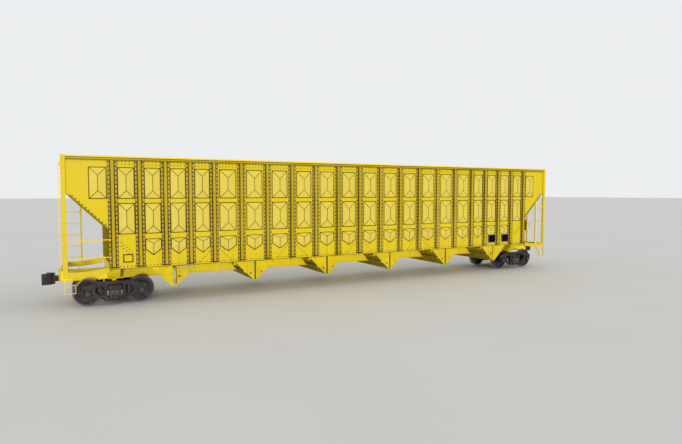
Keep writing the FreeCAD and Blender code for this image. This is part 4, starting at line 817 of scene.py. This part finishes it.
class WAGON_OT_plates(bpy.types.Operator):
    """Blank boards and the outlined blank plate on the side sheets"""
    bl_idname = "wagon.plates"
    bl_label = "Blank plates"

    def execute(self, context):
        boards, frames, border, plate = (bmesh.new() for _ in range(4))
        for middle in (7.035, 7.850):
            add_block(frames, (middle - 0.210, -1.490, 1.385), (middle + 0.205, -SHEET_FACE, 1.740))
            add_block(boards, (middle - 0.190, -1.494, 1.405), (middle + 0.185, -1.488, 1.720))
        left, right, low, high, line = -8.735, -8.435, 1.425, 1.690, 0.03
        add_block(plate, (left, -1.446, low), (right, -SHEET_FACE, high))
        for x0, x1, z0, z1 in ((left, right, low, low + line), (left, right, high - line, high),
                               (left, left + line, low, high), (right - line, right, low, high)):
            add_block(border, (x0, -1.450, z0), (x1, -SHEET_FACE, z1))
        for name, bm, finish in (("blank_boards", boards, "black"), ("board_frames", frames, "edge"),
                                 ("outlined_plates", plate, "body"), ("plate_borders", border, "black")):
            half_turn(bm)
            if bm is frames:
                soften(bm, 0.004)
            add_piece(name, bm, finish)
        return {"FINISHED"}


class WAGON_OT_underframe(bpy.types.Operator):
    """Rivets, stiffeners and the brake pipe along the centre sill"""
    bl_idname = "wagon.underframe"
    bl_label = "Underframe fittings"

    def execute(self, context):
        fittings = context.scene.wagon_fittings
        bm = bmesh.new()
        count, reach = 138, 10.48
        for level in (SILL_LOW + 0.021, SILL_HIGH - 0.029):
            head = add_head(bm, (-reach, SILL_FACE, level), (0, 1, 0),
                            fittings.rivet_radius, fittings.rivet_height)
            add_row(bm, head, (2 * reach / (count - 1), 0, 0), count)
        mirror_all(bm, "Y")
        # Sill rivets and stiffeners take the sill paint, lightened as painted light
        add_piece("sill_rivets", bm, "sill")
        bm = bmesh.new()
        for x in [middle + offset for middle in SADDLES for offset in (-0.42, 0.42)]:
            add_block(bm, (x - 0.006, SILL_FACE, SILL_LOW), (x + 0.006, 0.255, SILL_HIGH))
        mirror_all(bm, "Y")
        add_piece("sill_stiffeners", bm, "sill")
        bm = bmesh.new()
        pipe, bend, y, z = 0.021, 10.35, 0.235, 0.815
        add_bar(bm, (-bend, y, z), (bend, y, z), pipe, 10)
        for end in (-1, 1):
            add_bar(bm, (bend * end, y, z), (10.62 * end, 0.300, 0.760), pipe, 10)
            add_bar(bm, (10.60 * end, 0.296, 0.764), (10.72 * end, 0.325, 0.737), pipe * 1.7, 10)
        for x in [1.6 * index for index in range(-6, 7)]:
            add_block(bm, (x - 0.02, SILL_FACE, 0.790), (x + 0.02, 0.262, 0.840))
        add_piece("brake_pipe", bm, "body", smooth=40)
        return {"FINISHED"}


class WAGON_OT_hopper_trim(bpy.types.Operator):
    """Edge strips and bolts on the hoppers' side plates, with dark strips and discs as painted shade at the
    split and the holes.
    """
    bl_idname = "wagon.hopper_trim"
    bl_label = "Hopper trim"

    def execute(self, context):
        for half, way in (("a", -1), ("b", 1)):
            for index, middle in enumerate(HOPPERS, 1):
                if middle * way < 7:
                    body = "door_%d_%s" % (index, half)
                    self.trim(body, middle, way, body)
        self.trim("end_hopper_a", HOPPERS[0], -1, SHELL)
        self.trim("end_hopper_b", HOPPERS[-1], 1, SHELL)
        return {"FINISHED"}

    def trim(self, name, middle, way, body):
        """The fittings of one half of a hopper; the fixed halves have no dark ones."""
        plate, dark = bmesh.new(), bmesh.new()
        face = SHEET_FACE
        latched = name in ("door_1_b", "door_6_a")
        shift = 0.050 if latched else 0
        # Painted shade: a dark strip along the split of the side plate
        add_block(dark, (0.006 + shift, face, 0.545 + shift), (0.024 + shift, face + 0.014, DOOR_HEAD))
        foot, top = Vector((0.075, face, 0.568)), Vector((0.630, face, 1.123))
        strip = add_block(plate, (0, 0, -0.010), ((top - foot).length, 0.010, 0.022))
        turn = Matrix.Translation(foot) @ Matrix.Rotation(-math.pi / 4, 4, "Y")
        bmesh.ops.transform(plate, matrix=turn, verts=strip)
        seam = add_block(plate, (0.060, face, 1.094), (0.560, face + 0.006, 1.108))
        soften(plate, 0.002, list({edge for vert in seam for edge in vert.link_edges}))
        # Painted shade: a dark disc in the hole of the side plate
        hole_shades = {-1: (0.160, 0.790, 0.034), 1: (0.250, 0.820, 0.026)}
        x, z, size = (0.165, 0.865, 0.036) if latched else hole_shades[way]
        add_bar(dark, (x, face - 0.002, z), (x, face + 0.010, z), size, 12)
        count = 8
        for index in range(count):
            point = foot.lerp(top, (index + 0.5) / count)
            add_head(plate, (point.x - 0.005, face + 0.009, point.z + 0.014), (0, 1, 0), 0.011, 0.008)
        for bm in (plate, dark):
            mirror_all(bm, "Y")
            bmesh.ops.transform(bm, matrix=moved(middle) @ Matrix.Scale(way, 4, (1, 0, 0)), verts=bm.verts)
        add_piece(name + "_strips", plate, "body", body)
        if body == SHELL:
            dark.free()
        else:
            # The dark strip and disc of painted shade
            add_piece(name + "_bolts", dark, "rivet", body)


class WAGON_OT_latch_bars(bpy.types.Operator):
    """Pale latch bars on the side plates of the first hopper, and half a turn round on the last"""
    bl_idname = "wagon.latch_bars"
    bl_label = "Latch bars"

    def execute(self, context):
        for body, end, way in (("door_1_b", "a", 1), ("door_6_a", "b", -1)):
            x, face = HOPPERS[0], -SHEET_FACE
            bm = bmesh.new()
            add_block(bm, (x + 0.100, face - 0.020, 1.142), (x + 0.600, face, 1.180))
            add_bar(bm, (x + 0.130, face - 0.028, 1.161), (x + 0.130, face, 1.161), 0.024, 12)
            self.add_part(bm, way, body + "_latch_bar", "latch", "door_paint", body)
            bm = bmesh.new()
            add_block(bm, (x - 0.030, face - 0.018, 0.590), (x + 0.002, face, 1.150))
            add_block(bm, (x + 0.002, face - 0.018, 0.590), (x + 0.044, face - 0.003, 1.150))
            for level in (0.700, 0.895, 1.090):
                add_head(bm, (x + 0.007, face - 0.017, level), (0, -1, 0), 0.014, 0.010)
            self.add_part(bm, way, "latch_guide_" + end, "latch", "slope_paint")
            bm = bmesh.new()
            add_block(bm, (x - 0.036, face - 0.030, 1.156), (x + 0.030, face - 0.003, 1.216))
            add_block(bm, (x - 0.036, face - 0.018, 1.166), (x - 0.010, face, 1.206))
            self.add_part(bm, way, "latch_box_" + end, "rivet", "slope_paint")
        return {"FINISHED"}

    def add_part(self, bm, way, name, finish, slot, body=SHELL):
        """Softens a part made at the first hopper, and turns it to the last one if need be."""
        if way < 0:
            bmesh.ops.rotate(bm, cent=(0, 0, 0), matrix=Matrix.Rotation(math.pi, 3, "Z"), verts=bm.verts)
        soften(bm, 0.003)
        add_piece(name, bm, finish, body)


class WAGON_OT_castings(bpy.types.Operator):
    """Rounded castings in place of the sharp-edged couplers, knuckles and bogie side frames"""
    bl_idname = "wagon.castings"
    bl_label = "Rounded castings"

    def execute(self, context):
        size = context.scene.wagon_fittings.round_edge
        for end in BOGIE_PLACES:
            for body in ("coupler_" + end, "knuckle_" + end):
                self.rounded(body, size, "coupler_casting", body)
            for kind in ("frames", "bolster"):
                self.rounded("bogie_%s_%s" % (end, kind), size, "bogie_casting", "bogie_" + end)
        return {"FINISHED"}

    def rounded(self, source, size, slot, body):
        """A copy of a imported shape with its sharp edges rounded, in place of it."""
        bm = bmesh.new()
        bm.from_mesh(NODES[source].data)
        bmesh.ops.remove_doubles(bm, verts=bm.verts, dist=1e-5)
        bmesh.ops.dissolve_limit(bm, angle_limit=math.radians(1), verts=bm.verts, edges=bm.edges)
        sharp = [edge for edge in bm.edges
                 if len(edge.link_faces) == 2 and edge.calc_face_angle() > math.radians(25)]
        bmesh.ops.bevel(bm, geom=sharp, offset=size, segments=2, affect="EDGES", profile=0.5, material=-1,
                        clamp_overlap=True)
        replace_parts(add_piece("cast_" + source, bm, "casting", body, 40), source)


class WAGON_OT_springs(bpy.types.Operator):
    """Coil springs in place of the plain cylinders under the bogie bolsters"""
    bl_idname = "wagon.springs"
    bl_label = "Bogie springs"

    def execute(self, context):
        fittings = context.scene.wagon_fittings
        low, high, reach, cap, cap_height = 0.269, 0.499, 0.058, 0.060, 0.006
        bar, turns = fittings.coil_bar, fittings.coil_turns
        for end, centre in BOGIE_PLACES.items():
            bm = bmesh.new()
            ring = bmesh.ops.create_circle(bm, segments=6, radius=bar, cap_ends=False)["verts"]
            turn = moved(reach - bar, 0, low + bar) @ Matrix.Rotation(math.pi / 2, 4, "X")
            bmesh.ops.transform(bm, matrix=turn, verts=ring)
            steps = 12 * turns
            edges = list({edge for vert in ring for edge in vert.link_edges})
            rise = (high - low - 2 * bar) / steps
            bmesh.ops.spin(bm, geom=ring + edges, cent=(0, 0, 0), axis=(0, 0, 1), dvec=(0, 0, rise),
                           angle=math.tau * turns, steps=steps, use_merge=False, use_duplicate=False)
            bmesh.ops.holes_fill(bm, edges=[edge for edge in bm.edges if edge.is_boundary], sides=0)
            add_bar(bm, (0, 0, low), (0, 0, low + cap_height), cap, 16)
            add_bar(bm, (0, 0, high), (0, 0, high - cap_height), cap, 16)
            spread(bm, list(bm.verts), [moved(centre + x, y * side) for x in (-0.13, 0, 0.13)
                                        for y in (0.938, 1.068) for side in (-1, 1)])
            piece = add_piece("coil_springs_" + end, bm, "spring", "bogie_" + end, 50)
            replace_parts(piece, "bogie_%s_springs" % end)
        return {"FINISHED"}


class WAGON_OT_bogie_trim(bpy.types.Operator):
    """Ribs on the side frames, axle end caps and bolts"""
    bl_idname = "wagon.bogie_trim"
    bl_label = "Bogie trim"

    def execute(self, context):
        for end, centre in BOGIE_PLACES.items():
            self.frame_ribs(end, centre)
            for name, offset in (("outer", AXLE_OFFSET), ("inner", -AXLE_OFFSET)):
                x = centre + (offset if end == "b" else -offset)
                self.end_caps("wheelset_%s_%s" % (end, name), x)
        return {"FINISHED"}

    def frame_ribs(self, end, centre):
        """A raised edge round each side frame and its windows."""
        bm = bmesh.new()
        right = [(0.641, 0.400), (0.701, 0.400), (0.701, 0.589), (0.924, 0.589), (0.924, 0.400),
                 (0.984, 0.400), (0.984, 0.645), (0.884, 0.690), (0.510, 0.789)]
        left = [(-x, z) for x, z in reversed(right)]
        self.rim(bm, [(-0.300, 0.164), (0.300, 0.164)] + right + left, 0.022)
        window = [(0.320, 0.655), (0.320, 0.270), (0.350, 0.270),
                  (0.590, 0.450), (0.590, 0.560), (0.530, 0.630)]
        for side in (-1, 1):
            self.rim(bm, [(x * side, z) for x, z in window], -0.018)
        self.rim(bm, [(-0.230, 0.269), (0.230, 0.269), (0.230, 0.700), (-0.230, 0.700)], -0.018)
        for x in (-0.275, 0.275):
            for z in (0.340, 0.520, 0.640):
                add_head(bm, (x, FRAME_FACE + 0.001, z), (0, 1, 0), 0.018, 0.014)
        bmesh.ops.translate(bm, vec=(centre, 0, 0), verts=bm.verts)
        mirror_all(bm, "Y")
        add_piece("side_frame_ribs_" + end, bm, "casting", "bogie_" + end)

    def rim(self, bm, outline, width):
        """A raised strip inside an outline, or outside it when the width is negative."""
        face = bm.faces.new([bm.verts.new((x, FRAME_FACE, z)) for x, z in outline])
        strip = bmesh.ops.inset_region(
            bm, faces=[face], thickness=abs(width), use_outset=width < 0)["faces"]
        bmesh.ops.delete(bm, geom=[face], context="FACES")
        thicken(bm, [item for item in strip if item.is_valid], (0, 0.014, 0))

    def end_caps(self, body, x):
        """A cap with three bolts on each end of an axle."""
        cap, bolts = bmesh.new(), bmesh.new()
        face = BEARING_FACE + 0.008
        add_bar(cap, (x, BEARING_FACE, AXLE_LEVEL), (x, face, AXLE_LEVEL), 0.070, 20, 0.062)
        mirror_all(cap, "Y")
        add_piece(body + "_caps", cap, "casting", body, 40)
        bolt = add_head(bolts, (x + 0.040, face, AXLE_LEVEL), (0, 1, 0), 0.018, 0.013)
        for turn in (1, 2):
            spin = moved(x, 0, AXLE_LEVEL) @ Matrix.Rotation(math.tau * turn / 3, 4, "Y")
            copy_turned(bolts, bolt, spin @ moved(-x, 0, -AXLE_LEVEL))
        mirror_all(bolts, "Y")
        # Cap bolts: the pale colour, partly painted highlight
        add_piece(body + "_cap_bolts", bolts, "bright", body)


class WAGON_OT_end_fittings(bpy.types.Operator):
    """Bolts on the corner posts, ladders and end frames"""
    bl_idname = "wagon.end_fittings"
    bl_label = "End fittings"

    def execute(self, context):
        bm = bmesh.new()
        head = add_head(bm, (10.450, 1.435, 1.45), (1, 0, 0), 0.016, 0.010)
        add_row(bm, head, (0, 0, 0.185), 18)
        mirror_all(bm, "Y", "X")
        add_piece("end_frame_bolts", bm, "rivet")
        bm = bmesh.new()
        for y in (1.03, 1.47):
            for rung in range(9):
                add_head(bm, (10.520, y, 1.680 + 0.341 * rung), (1, 0, 0), 0.012, 0.007)
        half_turn(bm)
        add_piece("ladder_bolts", bm, "rivet")
        return {"FINISHED"}


class WAGON_OT_stage(bpy.types.Operator):
    """Floor, backdrop light, lamps and the camera"""
    bl_idname = "wagon.stage"
    bl_label = "Stage"

    def execute(self, context):
        settings = context.scene.wagon_stage
        bm = bmesh.new()
        bmesh.ops.create_grid(bm, x_segments=1, y_segments=1, size=400)
        mesh = bpy.data.meshes.new("floor")
        bm.to_mesh(mesh)
        bm.free()
        mesh.materials.append(self.floor_finish(settings))
        floor = add_object("floor", mesh)
        self.world(context, settings)
        for name, (turn, softness) in LAMPS.items():
            self.lamp(name, getattr(settings, name), turn, softness)
        camera = add_object("camera", bpy.data.cameras.new("camera"))
        camera.location = CAMERA_PLACE
        camera.rotation_euler = (math.pi / 2 - CAMERA_TILT, 0, CAMERA_TURN)
        camera.data.lens = settings.lens
        camera.data.clip_end = 1500
        context.scene.camera = camera
        context.scene.view_settings.view_transform = "Standard"
        return {"FINISHED"}

    def lamp(self, name, energy, turn, softness):
        lamp = add_object(name, bpy.data.lights.new(name, "SUN"))
        lamp.data.energy = energy
        lamp.data.angle = math.radians(softness)
        lamp.rotation_euler = [math.radians(angle) for angle in turn]

    def floor_finish(self, settings):
        """A plain floor, hardly mottled."""
        recipe = Recipe("Floor")
        shade = recipe.mix(recipe.step(recipe.noise(0.2, 3), 0.3, 0.7), settings.floor,
                           [channel * 0.97 for channel in settings.floor])
        return recipe.finish(shade, 0.8)

    def world(self, context, settings):
        """Plain light all round, with a backdrop that only the camera and reflections see."""
        world = bpy.data.worlds.new("surroundings")
        context.scene.world = world
        world.use_nodes = True
        nodes = Nodes(world.node_tree)
        nodes.tree.nodes.clear()
        rays = nodes.add("ShaderNodeLightPath").outputs
        seen = rays["Is Camera Ray"]
        for kind in ("Is Glossy Ray", "Is Transmission Ray"):
            seen = nodes.add("ShaderNodeMath", {0: seen, 1: rays[kind]}, operation="MAXIMUM").outputs[0]
        light = nodes.add("ShaderNodeBackground", {"Color": (1, 1, 1), "Strength": settings.sky})
        shown = nodes.add("ShaderNodeBackground", {"Color": settings.backdrop, "Strength": 1})
        mix = nodes.add("ShaderNodeMixShader", {0: seen, 1: light.outputs[0], 2: shown.outputs[0]})
        nodes.add("ShaderNodeOutputWorld", {0: mix.outputs[0]})


class WAGON_PT_panel(bpy.types.Panel):
    """Buttons for the wagon's finishes and fittings"""
    bl_idname = "WAGON_PT_panel"
    bl_label = "Open Hopper Wagon"
    bl_space_type = "VIEW_3D"
    bl_region_type = "UI"
    bl_category = "Wagon"

    def draw(self, context):
        for operator in OPERATORS:
            self.layout.operator(operator.bl_idname)
        for name, group in GROUPS.items():
            column = self.layout.column()
            for setting in group.__annotations__:
                column.prop(getattr(context.scene, name), setting)


GROUPS = {
    "wagon_paint": WagonPaint, "wagon_iron": WagonIron,
    "wagon_fittings": WagonFittings, "wagon_stage": WagonStage,
}
OPERATORS = (
    WAGON_OT_stage, WAGON_OT_finishes, WAGON_OT_side_rivets, WAGON_OT_slope_edges, WAGON_OT_panel_creases,
    WAGON_OT_plates, WAGON_OT_underframe, WAGON_OT_hopper_gussets, WAGON_OT_hopper_trim, WAGON_OT_latch_bars,
    WAGON_OT_springs, WAGON_OT_castings, WAGON_OT_bogie_trim, WAGON_OT_end_fittings,
)


def register():
    for group in GROUPS.values():
        bpy.utils.register_class(group)
    for name, group in GROUPS.items():
        setattr(bpy.types.Scene, name, PointerProperty(type=group))
    for operator in OPERATORS:
        bpy.utils.register_class(operator)
    bpy.utils.register_class(WAGON_PT_panel)


def unregister():
    bpy.utils.unregister_class(WAGON_PT_panel)
    for operator in reversed(OPERATORS):
        bpy.utils.unregister_class(operator)
    for name, group in GROUPS.items():
        delattr(bpy.types.Scene, name)
        bpy.utils.unregister_class(group)


def main():
    register()
    for operator in OPERATORS:
        family, name = operator.bl_idname.split(".")
        getattr(getattr(bpy.ops, family), name)()


if __name__ == "__main__":
    main()
